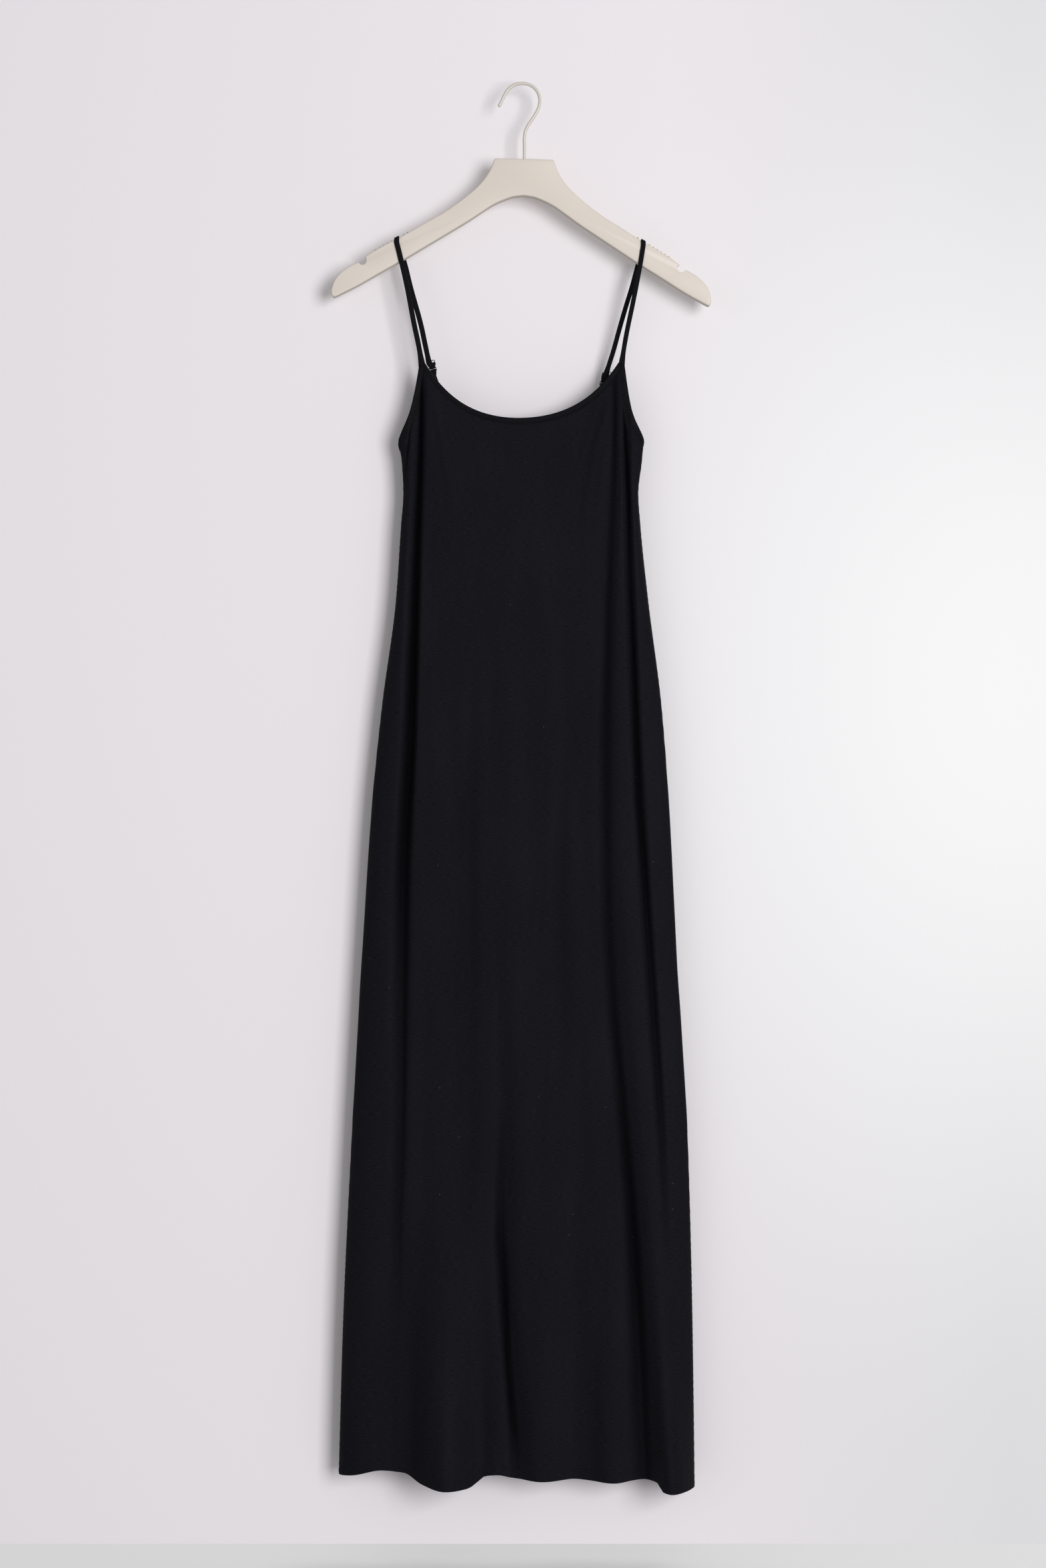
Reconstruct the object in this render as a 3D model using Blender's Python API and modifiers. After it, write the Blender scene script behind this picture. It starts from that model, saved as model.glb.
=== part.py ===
"""Slip dress on a coat hanger, as closed solids.

The origin is the underside of the hook's crown, where a rail carries the hanger. +X is the
viewer's right, -Y the front and +Z up. The dress is a flattened tube of jersey: its sections
are worked out from a table of edges and depths by height, and its creases from tables of
folds. Sizes below are in millimetres, and every solid is made in metres.
"""
import math
from collections import namedtuple

import bmesh
import bpy
import numpy as np
from mathutils import Matrix

MM = 0.001
QUARTER = math.pi / 2

# ---- cloth ----
JERSEY = 1.5            # wall of a panel
HEM_EXTRA = 0.8         # what the turned hem adds inside
BINDING_WIDTH = 6.0
BINDING = 2.4           # thickness of the folded binding
STRAP_WIDTH = 6.2
STRAP = 1.4
STRAP_THIN = 0.8        # strap pressed flat in its slide and ring
SEAM_GAP = 0.45         # from a side seam's line to each panel, round the tube
SEAM_STRIP = 2.0        # width of the column next to a side seam
EDGE_GAP = 0.6          # between a panel and its binding
TIP_GAP = 0.18          # between two bindings at a strap's foot
BUTT_GAP = 0.45         # between a strap's foot and the bindings under it

# ---- the tube of the dress, by height ----
Section = namedtuple("Section", "height left right front back roll")
SECTIONS = (
    # height, left edge, right edge, depth to the front, to the back, width of the side roll
    Section(-391, -137.5, 133.0, 8.5, 8.5, 19),
    Section(-414, -132.8, 131.0, 9.0, 9.0, 18),
    Section(-450, -131.0, 127.0, 10.0, 9.5, 18),
    Section(-485, -133.5, 129.3, 11.0, 10.0, 19),
    Section(-568, -139.2, 137.9, 12.0, 11.0, 20),
    Section(-685, -154.6, 152.6, 13.0, 12.0, 23),
    Section(-803, -166.4, 161.4, 14.0, 13.0, 26),
    Section(-950, -176.0, 168.8, 15.0, 13.5, 30),
    Section(-1156, -187.7, 181.2, 16.5, 14.5, 34),
    Section(-1361, -197.3, 186.6, 18.0, 15.0, 37),
    Section(-1545, -202.5, 189.0, 19.0, 16.0, 40),
)

# ---- folds: where each runs, how far it stands forward (or back), and how wide its sides are ----
Fold = namedtuple("Fold", "heights across forward left right")
LEVELS = (-318, -347, -421, -538, -715, -862, -1009, -1156, -1266, -1376, -1464, -1545)
FRONT_FOLDS = {
    "left strap crease": Fold(
        LEVELS,
        (-110.5, -110.5, -114.2, -116.8, -122.7, -126.7, -131.1, -136.3, -142.1, -143.6, -142.1, -139.2),
        (-0.6, -4.0, -6.0, -6.0, -5.0, -3.5, -2.2, -1.2, -0.5, 0.0, 0.0, 0.0), 17, 6),
    "left hem bulge": Fold(
        LEVELS,
        (-80, -80, -82, -84, -86, -87, -88, -88, -87, -86, -85, -83),
        (0.0, 0.0, 0.0, 0.0, 0.0, 0.0, 0.5, 1.5, 4.0, 10.0, 19.0, 27.0), 46, 44),
    "lower middle groove": Fold(
        LEVELS,
        (-30, -30, -30, -29, -29, -28, -26, -23.1, -20.9, -17.2, -10.6, -9.1),
        (0.0, 0.0, 0.0, 0.0, 0.0, 0.0, -0.6, -4.0, -6.0, -7.0, -5.0, -3.0), 9, 26),
    "right ridge": Fold(
        LEVELS,
        (102.0, 104.1, 106.3, 105.5, 103.3, 105.5, 118.0, 135.7, 144.5, 152.6, 159.2, 165.0),
        (0.3, 1.0, 3.0, 5.0, 5.5, 5.0, 5.0, 7.0, 9.0, 13.0, 18.0, 24.0), 23, 40),
    "right strap groove": Fold(
        LEVELS,
        (110.7, 112.5, 115.1, 118.4, 125.4, 131.3, 146.0, 153.3, 161.4, 168.0, 173.0, 178.0),
        (0.0, -0.9, -6.0, -7.0, -6.0, -5.0, -4.0, -1.5, 0.0, 0.0, 0.0, 0.0), 7.5, 7.5),
    "left faint trough": Fold(
        LEVELS,
        (-57, -57, -57, -57, -57, -57, -57, -57, -57, -57, -57, -57),
        (0.0, 0.0, 0.0, 0.0, -0.8, -1.4, -1.6, -1.2, 0.0, 0.0, 0.0, 0.0), 14, 14),
    "right faint trough": Fold(
        LEVELS,
        (42, 42, 42, 42, 42, 42, 42, 42, 42, 42, 42, 42),
        (0.0, 0.0, 0.0, 0.0, -0.8, -1.6, -1.4, 0.0, 0.0, 0.0, 0.0, 0.0), 14, 14),
    "hem wave, middle": Fold(
        LEVELS,
        (22, 22, 22, 22, 22, 22, 22, 22, 22, 22, 22, 22),
        (0.0, 0.0, 0.0, 0.0, 0.0, 0.0, 0.0, 0.0, 0.5, 2.0, 3.5, 5.0), 26, 30),
    "hem wave, right": Fold(
        LEVELS,
        (98, 98, 98, 98, 98, 98, 98, 98, 98, 98, 99, 101),
        (0.0, 0.0, 0.0, 0.0, 0.0, 0.0, 0.0, 0.0, 0.5, 2.0, 3.5, 5.0), 26, 26),
}
BACK_FOLDS = {
    "left strap crease": Fold(
        LEVELS,
        (-99, -101, -105, -110, -117, -122, -126, -131, -135, -138, -140, -141),
        (0.0, -0.5, -4.0, -4.5, -3.5, -2.5, -1.5, -0.5, 0.0, 0.0, 0.0, 0.0), 14, 7),
    "left hem wave": Fold(
        LEVELS,
        (-62, -62, -62, -62, -63, -64, -65, -66, -67, -68, -69, -70),
        (0.0, 0.0, 0.0, 0.0, 0.0, 0.5, 1.0, 2.0, 3.5, 5.0, 6.0, 7.0), 40, 36),
    "middle groove": Fold(
        LEVELS,
        (-8, -8, -8, -8, -8, -6, -3, 0, 3, 6, 8, 9),
        (0.0, 0.0, 0.0, 0.0, -0.5, -1.5, -2.5, -3.0, -3.5, -4.0, -4.0, -3.5), 12, 22),
    "right hem wave": Fold(
        LEVELS,
        (60, 60, 60, 60, 62, 65, 70, 76, 81, 85, 88, 90),
        (0.0, 0.0, 0.0, 0.0, 0.5, 1.0, 1.5, 2.5, 4.0, 5.5, 6.5, 7.5), 34, 34),
    "right strap crease": Fold(
        LEVELS,
        (89, 92, 97, 103, 112, 118, 125, 133, 139, 144, 147, 149),
        (0.0, -0.2, -4.0, -4.5, -3.5, -2.5, -1.5, -0.5, 0.0, 0.0, 0.0, 0.0), 7, 14),
}

# ---- neck, armholes and hem ----
Scoop = namedtuple("Scoop", "middle lowest left right round")
Reach = namedtuple("Reach", "half_width rise")
FRONT_NECK = Scoop(-4.5, -367.5, Reach(102.5, 60.0), Reach(109.8, 60.8), 0.617)
BACK_NECK = Scoop(-5.0, -400.0, Reach(90.0, 80.5), Reach(89.3, 65.0), 0.40)

# round the tube from the side seam, back negative and front positive; height of the finished edge
ARMHOLE_LEFT = (
    (-38.9, -319.5), (-36.5, -336.0), (-31.5, -355.0), (-24.0, -372.0), (-15.0, -386.5),
    (-8.0, -394.4), (-3.0, -397.0), (0.0, -396.6), (3.0, -394.2), (6.5, -388.8), (10.0, -381.8),
    (14.0, -373.0), (17.3, -363.0), (19.8, -352.0), (22.0, -339.0), (24.5, -325.1), (26.7, -311.9),
)
ARMHOLE_RIGHT = (
    (-44.9, -335.5), (-41.5, -349.0), (-35.0, -363.0), (-26.0, -376.0), (-16.0, -386.0),
    (-8.0, -391.0), (-3.0, -392.2), (0.0, -391.4), (3.0, -389.2), (6.5, -384.9), (11.7, -376.3),
    (15.0, -368.6), (17.6, -359.5), (19.6, -347.5), (21.3, -334.0), (22.7, -321.5), (24.2, -310.4),
)

FRONT_HEM = (
    # place across, height
    (-203, -1529.5), (-188, -1528.0), (-155, -1521.6), (-130, -1524.0), (-111, -1534.5),
    (-84, -1538.5), (-58, -1536.0), (-40, -1527.5), (-27, -1526.5), (21, -1533.0),
    (57, -1531.0), (101, -1535.0), (127, -1531.8), (143, -1533.5), (153, -1540.0),
    (167, -1543.0), (180, -1541.0), (190, -1535.0),
)
BACK_HEM = (
    (-203, -1529.5), (-180, -1525.0), (-135, -1523.0), (-70, -1528.0), (9, -1524.0),
    (90, -1529.0), (140, -1527.0), (175, -1531.0), (190, -1535.0),
)

# ---- where the columns and rows of each panel's wall run: a fold, an offset, and the strips before it ----
Guide = namedtuple("Guide", "fold offset strips")
FRONT_GUIDES = (
    Guide("left strap crease", -5.0, 8), Guide("left strap crease", 0.0, 2),
    Guide("left strap crease", 2.2, 1), Guide("left strap crease", 6.5, 1),
    Guide("left hem bulge", 0.0, 5), Guide("lower middle groove", -8.0, 6),
    Guide("lower middle groove", 0.0, 1), Guide("lower middle groove", 12.0, 1),
    Guide("right ridge", -22.0, 9), Guide("right ridge", 0.0, 3),
    Guide("right strap groove", -4.2, 1), Guide("right strap groove", 0.0, 2),
    Guide("right strap groove", 5.0, 3),
)
FRONT_LAST_STRIPS = 9
BACK_GUIDES = (
    Guide("left strap crease", -5.0, 6), Guide("left strap crease", 0.0, 1),
    Guide("left strap crease", 6.0, 1), Guide("left hem wave", 0.0, 5),
    Guide("middle groove", 0.0, 6), Guide("right hem wave", 0.0, 6),
    Guide("right strap crease", -6.0, 4), Guide("right strap crease", 0.0, 2),
    Guide("right strap crease", 5.0, 1),
)
BACK_LAST_STRIPS = 7
FRONT_ROWS = (
    0, .009, .021, .036, .054, .076, .102, .134, .17, .21, .255, .3, .35, .4, .45, .5, .55,
    .6, .645, .69, .73, .765, .8, .83, .86, .885, .91, .935, .96, .9885, .9905, 1,
)
BACK_ROWS = (
    0, .012, .03, .055, .09, .13, .18, .24, .3, .36, .42, .48, .54, .6, .66, .72, .775, .825,
    .87, .91, .95, .9885, .9905, 1,
)
HEM_STARTS = .99

# ---- straps: path of the front run, then of the back run, seen from the front ----
StrapPath = namedtuple("StrapPath", "top front_run back_run ring back_way")
STRAP_LEFT = StrapPath(
    top=-138.5,
    front_run=((-114.2, -288.3), (-118.9, -266.3), (-127.6, -222.2), (-135.5, -187.0)),
    back_run=((-131.8, -190.0), (-123.2, -222.2), (-112.2, -266.3), (-106.6, -286.0)),
    ring=(-98.0, -313.5), back_way=(0.26, -0.966))
STRAP_RIGHT = StrapPath(
    top=132.7,
    front_run=((111.8, -288.3), (115.9, -266.3), (120.6, -244.2), (130.6, -191.0)),
    back_run=((128.8, -191.0), (120.4, -222.2), (113.6, -244.2), (107.2, -266.3), (99.8, -294.0)),
    ring=(89.6, -329.5), back_way=(-0.284, -0.959))
STRAP_FRONT = -7.2      # strap's middle in front of the hanger
STRAP_BACK = 7.2        # and behind it
STRAP_LIFT = 1.1        # strap's middle above the shoulder

# ---- slide, ring and tab on each back strap ----
SLIDE_WIDTH = 8.6
SLIDE_HEIGHT = 7.0
SLIDE_THICK = 1.2
SLIDE_BAR = 1.0
SLIDE_CORNER = 1.2
WINDOW_CORNER = 0.3
RING_RADIUS = 4.1
RING_WIRE = 0.75
RING_PLANE = 8.6        # how far behind the hanger's middle the slide and ring lie
SLIDE_TO_RING = 8.9
LEG = 1.4               # from a ring's wire to the cloth on each side of it
TURN = 2.4              # from the wire to the turn of the cloth inside the ring
PINCHED = 3.6           # width of the cloth where it turns round the wire
TAB_LEG = 2.1           # from the back's wall to the tab on each side of it
TAB_LAP = 7.0           # how far the tab lies over the back's tip

# ---- hanger, in its own upright frame: origin at the middle of its top edge ----
HANGER_AT = (1.98, -82.4)
HANGER_TILT = math.radians(1.35)
HANGER_THICK = 12.0
HANGER_EASE = 1.0       # rounding of its edges
SHOULDER = (
    # out from the middle, height of the upper edge
    (32.7, 0.0), (35.4, -8.0), (41.0, -19.0), (48.5, -28.8), (61.0, -40.6), (74.0, -51.0),
    (88.0, -61.0), (106.0, -71.6), (124.0, -82.6), (158.0, -101.8), (170.0, -109.6),
    (180.0, -117.4), (187.0, -120.8), (193.0, -124.5), (199.0, -129.4), (203.5, -134.6),
    (207.0, -140.6), (209.0, -147.5),
)
TIP = ((209.2, -151.0), (208.4, -154.6), (206.0, -156.7))
UNDERSIDE = (
    (204.0, -156.0), (180.0, -143.3), (155.0, -128.2), (130.0, -113.4), (105.0, -97.8),
    (80.0, -82.2), (58.0, -68.0), (44.0, -58.2), (32.5, -50.6), (21.6, -45.4), (11.0, -41.6),
    (0.0, -40.1),
)
NOTCH_AT = (175.6, -115.9)
NOTCH_RADIUS = 5.0
STEM_HOLE_RADIUS = 2.2
STEM_HOLE_DEPTH = 16.0

# ---- ribbed strips let into the shoulders ----
GRIP_ENDS = ((120.0, -80.3), (167.5, -107.8))
GRIP_DEPTH = 1.4
GRIP_WIDTH = 6.0
GRIP_GAP = 0.3
RIB_PITCH = 5.0
RIB_HEIGHT = 1.4
RIB_FOOT = 2.0
RIB_TOP = 0.8
RIBS = 9
RIB_CLEAR = 4.6         # no rib stands this near a strap

# ---- hook: centre line of the wire, from its stem up and round to its tip ----
HOOK_WIRE = 1.84
STEM_FOOT = -97.5
HOOK_LINE = (
    (1.98, -80.6), (1.98, -68.0), (1.98, -57.0), (3.1, -51.0), (6.3, -44.0), (12.7, -34.5),
    (16.7, -27.3), (19.0, -20.1), (18.8, -13.7), (16.0, -6.5), (11.1, -1.5), (5.7, 1.05), (0.0, 1.84),
    (-5.6, 1.35), (-10.6, -0.6), (-15.9, -4.9), (-19.9, -11.3), (-23.1, -17.7), (-26.3, -24.1),
)

Finish = namedtuple("Finish", "colour roughness metallic")
BLACK_JERSEY = Finish((0.012, 0.012, 0.015), 0.85, 0.0)
BLACK_PLASTIC = Finish((0.008, 0.008, 0.009), 0.25, 0.0)
CREAM_PAINT = Finish((0.70, 0.62, 0.55), 0.45, 0.0)
CREAM_WIRE = Finish((0.72, 0.65, 0.57), 0.35, 0.6)
GREY_RUBBER = Finish((0.55, 0.50, 0.46), 0.7, 0.0)


# ---------------------------------------------------------------- tables

def smooth(places, values, at):
    """Monotone cubic through a table whose places rise or fall; level slopes at its peaks."""
    places = np.asarray(places, float)
    values = np.asarray(values, float)
    if places[0] > places[-1]:
        places, values = places[::-1], values[::-1]
    widths = np.diff(places)
    slopes = np.diff(values) / widths
    tangents = np.concatenate((slopes[:1], np.zeros(len(slopes) - 1), slopes[-1:]))
    before, after = slopes[:-1], slopes[1:]
    weight_before = 2 * widths[1:] + widths[:-1]
    weight_after = widths[1:] + 2 * widths[:-1]
    same_way = before * after > 0
    share = np.where(same_way, before, 1.0), np.where(same_way, after, 1.0)
    mean = (weight_before + weight_after) / (weight_before / share[0] + weight_after / share[1])
    tangents[1:-1] = np.where(same_way, mean, 0.0)
    at = np.clip(at, places[0], places[-1])
    row = np.clip(np.searchsorted(places, at) - 1, 0, len(widths) - 1)
    t = (at - places[row]) / widths[row]
    rise = widths[row]
    return ((1 + 2 * t) * (1 - t) ** 2 * values[row] + t * (1 - t) ** 2 * rise * tangents[row]
            + t * t * (3 - 2 * t) * values[row + 1] + t * t * (t - 1) * rise * tangents[row + 1])


def columns_of(table):
    """The columns of a table of rows."""
    return tuple(zip(*table))


def unit(vectors):
    """Each vector at length one."""
    return vectors / np.linalg.norm(vectors, axis=-1, keepdims=True)


# ---------------------------------------------------------------- the cloth's surface

def section_at(height):
    """The tube's left and right edges, depths and side roll at a height."""
    table = columns_of(SECTIONS)
    return [smooth(table[0], column, height) for column in table[1:]]


def roll_length(roll, depth):
    """Length of the quarter ellipse from a side seam to the flat of a panel."""
    squash = ((roll - depth) / (roll + depth)) ** 2
    return math.pi / 4 * (roll + depth) * (1 + 3 * squash / (10 + np.sqrt(4 - 3 * squash)))


def girth_at(side, height):
    """A panel's whole width round the tube at a height."""
    left, right, front, back, roll = section_at(height)
    length = roll_length(roll, front if side == "front" else back)
    return right - left - 2 * roll + 2 * length


def to_girth(side, across, height):
    """The distance round a panel from its left seam to a place across the dress."""
    left, right, front, back, roll = section_at(height)
    length = roll_length(roll, front if side == "front" else back)
    from_left = np.clip(across - left, 0, roll)
    from_right = np.clip(right - across, 0, roll)
    left_part = np.arccos(1 - from_left / roll) / QUARTER * length
    right_part = np.arccos(1 - from_right / roll) / QUARTER * length
    flat = np.clip(across - left - roll, 0, right - left - 2 * roll)
    return left_part + flat + (length - right_part)


def fold_at(side, across, height):
    """How far the folds push a panel outwards."""
    push = np.zeros(np.broadcast(across, height).shape)
    for fold in (FRONT_FOLDS if side == "front" else BACK_FOLDS).values():
        offset = across - smooth(fold.heights, fold.across, height)
        reach = np.where(offset < 0, fold.left, fold.right)
        near = np.clip(np.abs(offset) / reach, 0, 1)
        push = push + smooth(fold.heights, fold.forward, height) * 0.5 * (1 + np.cos(math.pi * near))
    return push


def cloth_point(side, girth, height):
    """The middle of a panel's wall, from the distance round it and the height."""
    girth = np.asarray(girth, float)
    height = np.asarray(height, float)
    left, right, front, back, roll = section_at(height)
    depth = front if side == "front" else back
    length = roll_length(roll, depth)
    whole = right - left - 2 * roll + 2 * length
    from_left = girth < whole / 2
    near = np.where(from_left, girth, whole - girth)
    turn = np.minimum(near / length, 1) * QUARTER
    inwards = roll * (1 - np.cos(turn)) + np.maximum(near - length, 0)
    across = np.where(from_left, left + inwards, right - inwards)
    out = np.sin(turn) * (depth + fold_at(side, across, height))
    return np.stack((across, -out if side == "front" else out, height + 0 * girth), axis=-1)


def cloth_normal(side, girth, height):
    """The outward normal of a panel's wall."""
    step = 0.4
    along = cloth_point(side, girth + step, height) - cloth_point(side, girth - step, height)
    up = cloth_point(side, girth, height + step) - cloth_point(side, girth, height - step)
    normal = unit(np.cross(along, up))
    return normal if side == "front" else -normal


def seam_point(seam, round_seam, height):
    """Point and normal at a signed distance round the tube from a side seam, front positive."""
    points = np.zeros((len(round_seam), 3))
    normals = np.zeros((len(round_seam), 3))
    for side, chosen in (("front", round_seam >= 0), ("back", round_seam < 0)):
        girth, level = np.abs(round_seam[chosen]), height[chosen]
        if seam == "right":
            girth = girth_at(side, level) - girth
        points[chosen] = cloth_point(side, girth, level)
        normals[chosen] = cloth_normal(side, girth, level)
    return points, normals


# ---------------------------------------------------------------- edges of the cloth

def neck_edge(side, samples):
    """A neck's finished edge, left tip to right tip, as distance round the panel and height."""
    neck = FRONT_NECK if side == "front" else BACK_NECK
    share = np.linspace(-1, 1, samples)
    half = np.where(share < 0, neck.left.half_width, neck.right.half_width)
    rise = np.where(share < 0, neck.left.rise, neck.right.rise)
    height = neck.lowest + rise * (neck.round * share ** 2 + (1 - neck.round) * share ** 4)
    return np.stack((to_girth(side, neck.middle + half * share, height), height), axis=1)


def armhole_edge(seam, samples):
    """An armhole's finished edge, back tip to front tip, round its side seam."""
    places, heights = columns_of(ARMHOLE_LEFT if seam == "left" else ARMHOLE_RIGHT)
    at = np.linspace(places[0], places[-1], samples)
    return np.stack((at, smooth(places, heights, at)), axis=1)


def moved_in(edge, distance):
    """An edge moved into the cloth."""
    step = unit(np.gradient(edge, axis=0))
    return edge + distance * np.stack((step[:, 1], -step[:, 0]), axis=1)


def inner_edges(side, distance):
    """The three edges of a panel moved in: left armhole, neck, right armhole."""
    sign = 1 if side == "front" else -1
    edges = []
    for seam in ("left", "right"):
        inner = moved_in(armhole_edge(seam, 241), distance) * (sign, 1)
        inner = inner[inner[:, 0] >= -distance]
        if seam == "right":
            inner[:, 0] = girth_at(side, inner[:, 1]) - inner[:, 0]
        edges.append(inner[np.argsort(inner[:, 0])])
    neck = moved_in(neck_edge(side, 241), distance)
    return edges[0], neck[np.argsort(neck[:, 0])], edges[1]


def panel_top(side, girth):
    """Height of a panel's cut edge at a distance round it."""
    left, neck, right = inner_edges(side, BINDING_WIDTH + EDGE_GAP)
    far_below, far_above = -1e4, 1e4
    over_left = np.interp(girth, left[:, 0], left[:, 1], right=far_above)
    over_right = np.interp(girth, right[:, 0], right[:, 1], left=far_above)
    over_neck = np.interp(girth, neck[:, 0], neck[:, 1], left=far_above, right=far_above)
    return np.maximum(np.minimum(np.minimum(over_left, over_neck), over_right), far_below)


def tip_place(side, seam):
    """Where the inner edges of neck and armhole bindings meet: distance round the panel."""
    left, neck, right = inner_edges(side, BINDING_WIDTH)
    arm = left if seam == "left" else right
    girth = np.linspace(max(arm[0, 0], neck[0, 0]), min(arm[-1, 0], neck[-1, 0]), 2000)
    apart = np.abs(np.interp(girth, arm[:, 0], arm[:, 1]) - np.interp(girth, neck[:, 0], neck[:, 1]))
    return float(girth[np.argmin(apart)])


def column_shares(side):
    """Each column of a panel as a number of guides passed and the share of the next."""
    guides, last = ((FRONT_GUIDES, FRONT_LAST_STRIPS) if side == "front"
                    else (BACK_GUIDES, BACK_LAST_STRIPS))
    strips = [1] + [guide.strips for guide in guides] + [last, 1]
    return [0.0] + [passed + (n + 1) / count for passed, count in enumerate(strips) for n in range(count)]


def column_girths(side, heights):
    """Distance round a panel of each of its columns, for rows of heights, a height a column."""
    folds, guides = (FRONT_FOLDS, FRONT_GUIDES) if side == "front" else (BACK_FOLDS, BACK_GUIDES)
    stops = [SEAM_GAP + 0 * heights, SEAM_GAP + SEAM_STRIP + 0 * heights]
    for guide in guides:
        fold = folds[guide.fold]
        across = smooth(fold.heights, fold.across, heights) + guide.offset
        stops.append(to_girth(side, across, heights))
    whole = girth_at(side, heights)
    stops += [whole - SEAM_GAP - SEAM_STRIP, whole - SEAM_GAP]
    stops = np.array(stops)
    shares = np.array(column_shares(side))
    passed = np.minimum(shares.astype(int), len(stops) - 2)
    column = np.arange(len(shares))
    before, after = stops[passed, ..., column], stops[passed + 1, ..., column]
    between = (shares - passed).reshape(-1, *[1] * (before.ndim - 1))
    return np.moveaxis(before + (after - before) * between, 0, -1)


# ---------------------------------------------------------------- solids

def material(name, finish):
    """A Principled material, made once."""
    made = bpy.data.materials.get(name)
    if made:
        return made
    made = bpy.data.materials.new(name)
    made.use_nodes = True
    shader = made.node_tree.nodes["Principled BSDF"]
    shader.inputs["Base Color"].default_value = (*finish.colour, 1.0)
    shader.inputs["Roughness"].default_value = finish.roughness
    shader.inputs["Metallic"].default_value = finish.metallic
    return made


def link(shape, collection, finish=None):
    """Put an object in its collection, with its own material."""
    for other in shape.users_collection:
        other.objects.unlink(shape)
    collection.objects.link(shape)
    if finish:
        shape.data.materials.clear()
        shape.data.materials.append(material(shape.name, finish))
    return shape


def wall(name, collection, finish, points, thickness):
    """A sheet of cloth: a grid of points with a wall about it, as thick as stated at each."""
    rows, columns = points.shape[:2]
    thickness = np.broadcast_to(thickness, (rows, columns))
    sheet = bmesh.new()
    bmesh.ops.create_grid(sheet, x_segments=columns - 1, y_segments=rows - 1, size=1)
    for vert, place in zip(sheet.verts, points.reshape(-1, 3)):
        vert.co = place * MM
    mesh = bpy.data.meshes.new(name)
    sheet.to_mesh(mesh)
    sheet.free()
    mesh.shade_smooth()
    shape = bpy.data.objects.new(name, mesh)
    shares = shape.vertex_groups.new(name="wall")
    for number, share in enumerate((thickness / thickness.max()).ravel()):
        shares.add([number], share, "REPLACE")
    solid = shape.modifiers.new("wall", "SOLIDIFY")
    solid.thickness = float(thickness.max()) * MM
    solid.offset = 0
    solid.vertex_group = shares.name
    return link(shape, collection, finish)


def panel(side, collection):
    """A front or back: rows from the cut edge to the hem, columns between the folds."""
    rows = np.array(FRONT_ROWS if side == "front" else BACK_ROWS)
    hem = FRONT_HEM if side == "front" else BACK_HEM
    top_heights = np.full(len(column_shares(side)), float(SECTIONS[0].height))
    for _ in range(8):
        top_heights = panel_top(side, column_girths(side, top_heights))
    hem_heights = np.full(len(top_heights), hem[0][1], float)
    for _ in range(4):
        across = cloth_point(side, column_girths(side, hem_heights), hem_heights)[:, 0]
        hem_heights = smooth(*columns_of(hem), across)
    heights = top_heights + rows[:, None] * (hem_heights - top_heights)
    girths = column_girths(side, heights)
    extra = (rows > HEM_STARTS)[:, None] * HEM_EXTRA
    points = cloth_point(side, girths, heights)
    points = points - cloth_normal(side, girths, heights) * extra[:, :, None] / 2
    wall(side + "_panel", collection, BLACK_JERSEY, points, JERSEY + extra)


def strip_rows(edge, inner, end_rows):
    """Rows of three places across a binding, with its two ends set."""
    rows = np.stack((edge, (edge + inner) / 2, inner), axis=1)
    rows[0], rows[-1] = end_rows
    return rows


def foot_line(seam, side):
    """The slanting line on which a strap or tab meets the bindings: its outer and inner ends."""
    edge = armhole_edge(seam, 2)
    outer = edge[-1] if side == "front" else edge[0] * (-1, 1)
    neck = neck_edge(side, 3)
    whole = float(girth_at(side, SECTIONS[0].height))
    inner = neck[0] if seam == "left" else (whole, 0) + neck[-1] * (-1, 1)
    return np.array(outer), np.array(inner)


def end_row(seam, side, outer_first):
    """The last row of a binding, lying on the foot line up to the place where bindings meet."""
    outer, inner = foot_line(seam, side)
    tip = tip_place(side, seam)
    if seam == "right":
        tip = float(girth_at(side, SECTIONS[0].height)) - tip
    share = (tip - outer[0]) / (inner[0] - outer[0])
    start, nudge = (outer, -TIP_GAP) if outer_first else (inner, TIP_GAP)
    meeting = outer + share * (inner - outer) + (nudge, 0)
    return np.array((start, (start + meeting) / 2, meeting))


def armhole_binding(seam, collection):
    """One binding round an armhole, from the back tip under the arm to the front tip."""
    edge = armhole_edge(seam, 64)
    inner = moved_in(edge, BINDING_WIDTH)
    whole = float(girth_at("front", SECTIONS[0].height))
    limits = {}
    for side in ("front", "back"):
        tip = tip_place(side, seam)
        limits[side] = (whole - tip if seam == "right" else tip) - TIP_GAP
    inner[:, 0] = np.clip(inner[:, 0], -limits["back"], limits["front"])
    back_end = end_row(seam, "back", True) * (-1, 1)
    rows = strip_rows(edge, inner, (back_end, end_row(seam, "front", True)))
    points, _ = seam_point(seam, rows[:, :, 0].ravel(), rows[:, :, 1].ravel())
    wall("armhole_binding_" + seam, collection, BLACK_JERSEY, points.reshape(*rows.shape[:2], 3), BINDING)


def neck_binding(side, collection):
    """The binding along a neck, tip to tip."""
    edge = neck_edge(side, 56)
    inner = moved_in(edge, BINDING_WIDTH)
    inner[:, 0] = np.clip(inner[:, 0], tip_place(side, "left") + TIP_GAP,
                          tip_place(side, "right") - TIP_GAP)
    whole = float(girth_at(side, SECTIONS[0].height))
    right_end = (whole, 0) + end_row("right", side, False) * (-1, 1)
    rows = strip_rows(edge, inner, (end_row("left", side, False), right_end))
    points = cloth_point(side, rows[:, :, 0], rows[:, :, 1])
    wall("neck_binding_" + side, collection, BLACK_JERSEY, points, BINDING)


# ---------------------------------------------------------------- straps, slides, rings and tabs

def on_row_frame(place):
    """A place on the hanger's upright frame, as it hangs."""
    x, z = place
    cos, sin = math.cos(HANGER_TILT), math.sin(HANGER_TILT)
    return HANGER_AT[0] + x * cos + z * sin, HANGER_AT[1] - x * sin + z * cos


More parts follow.
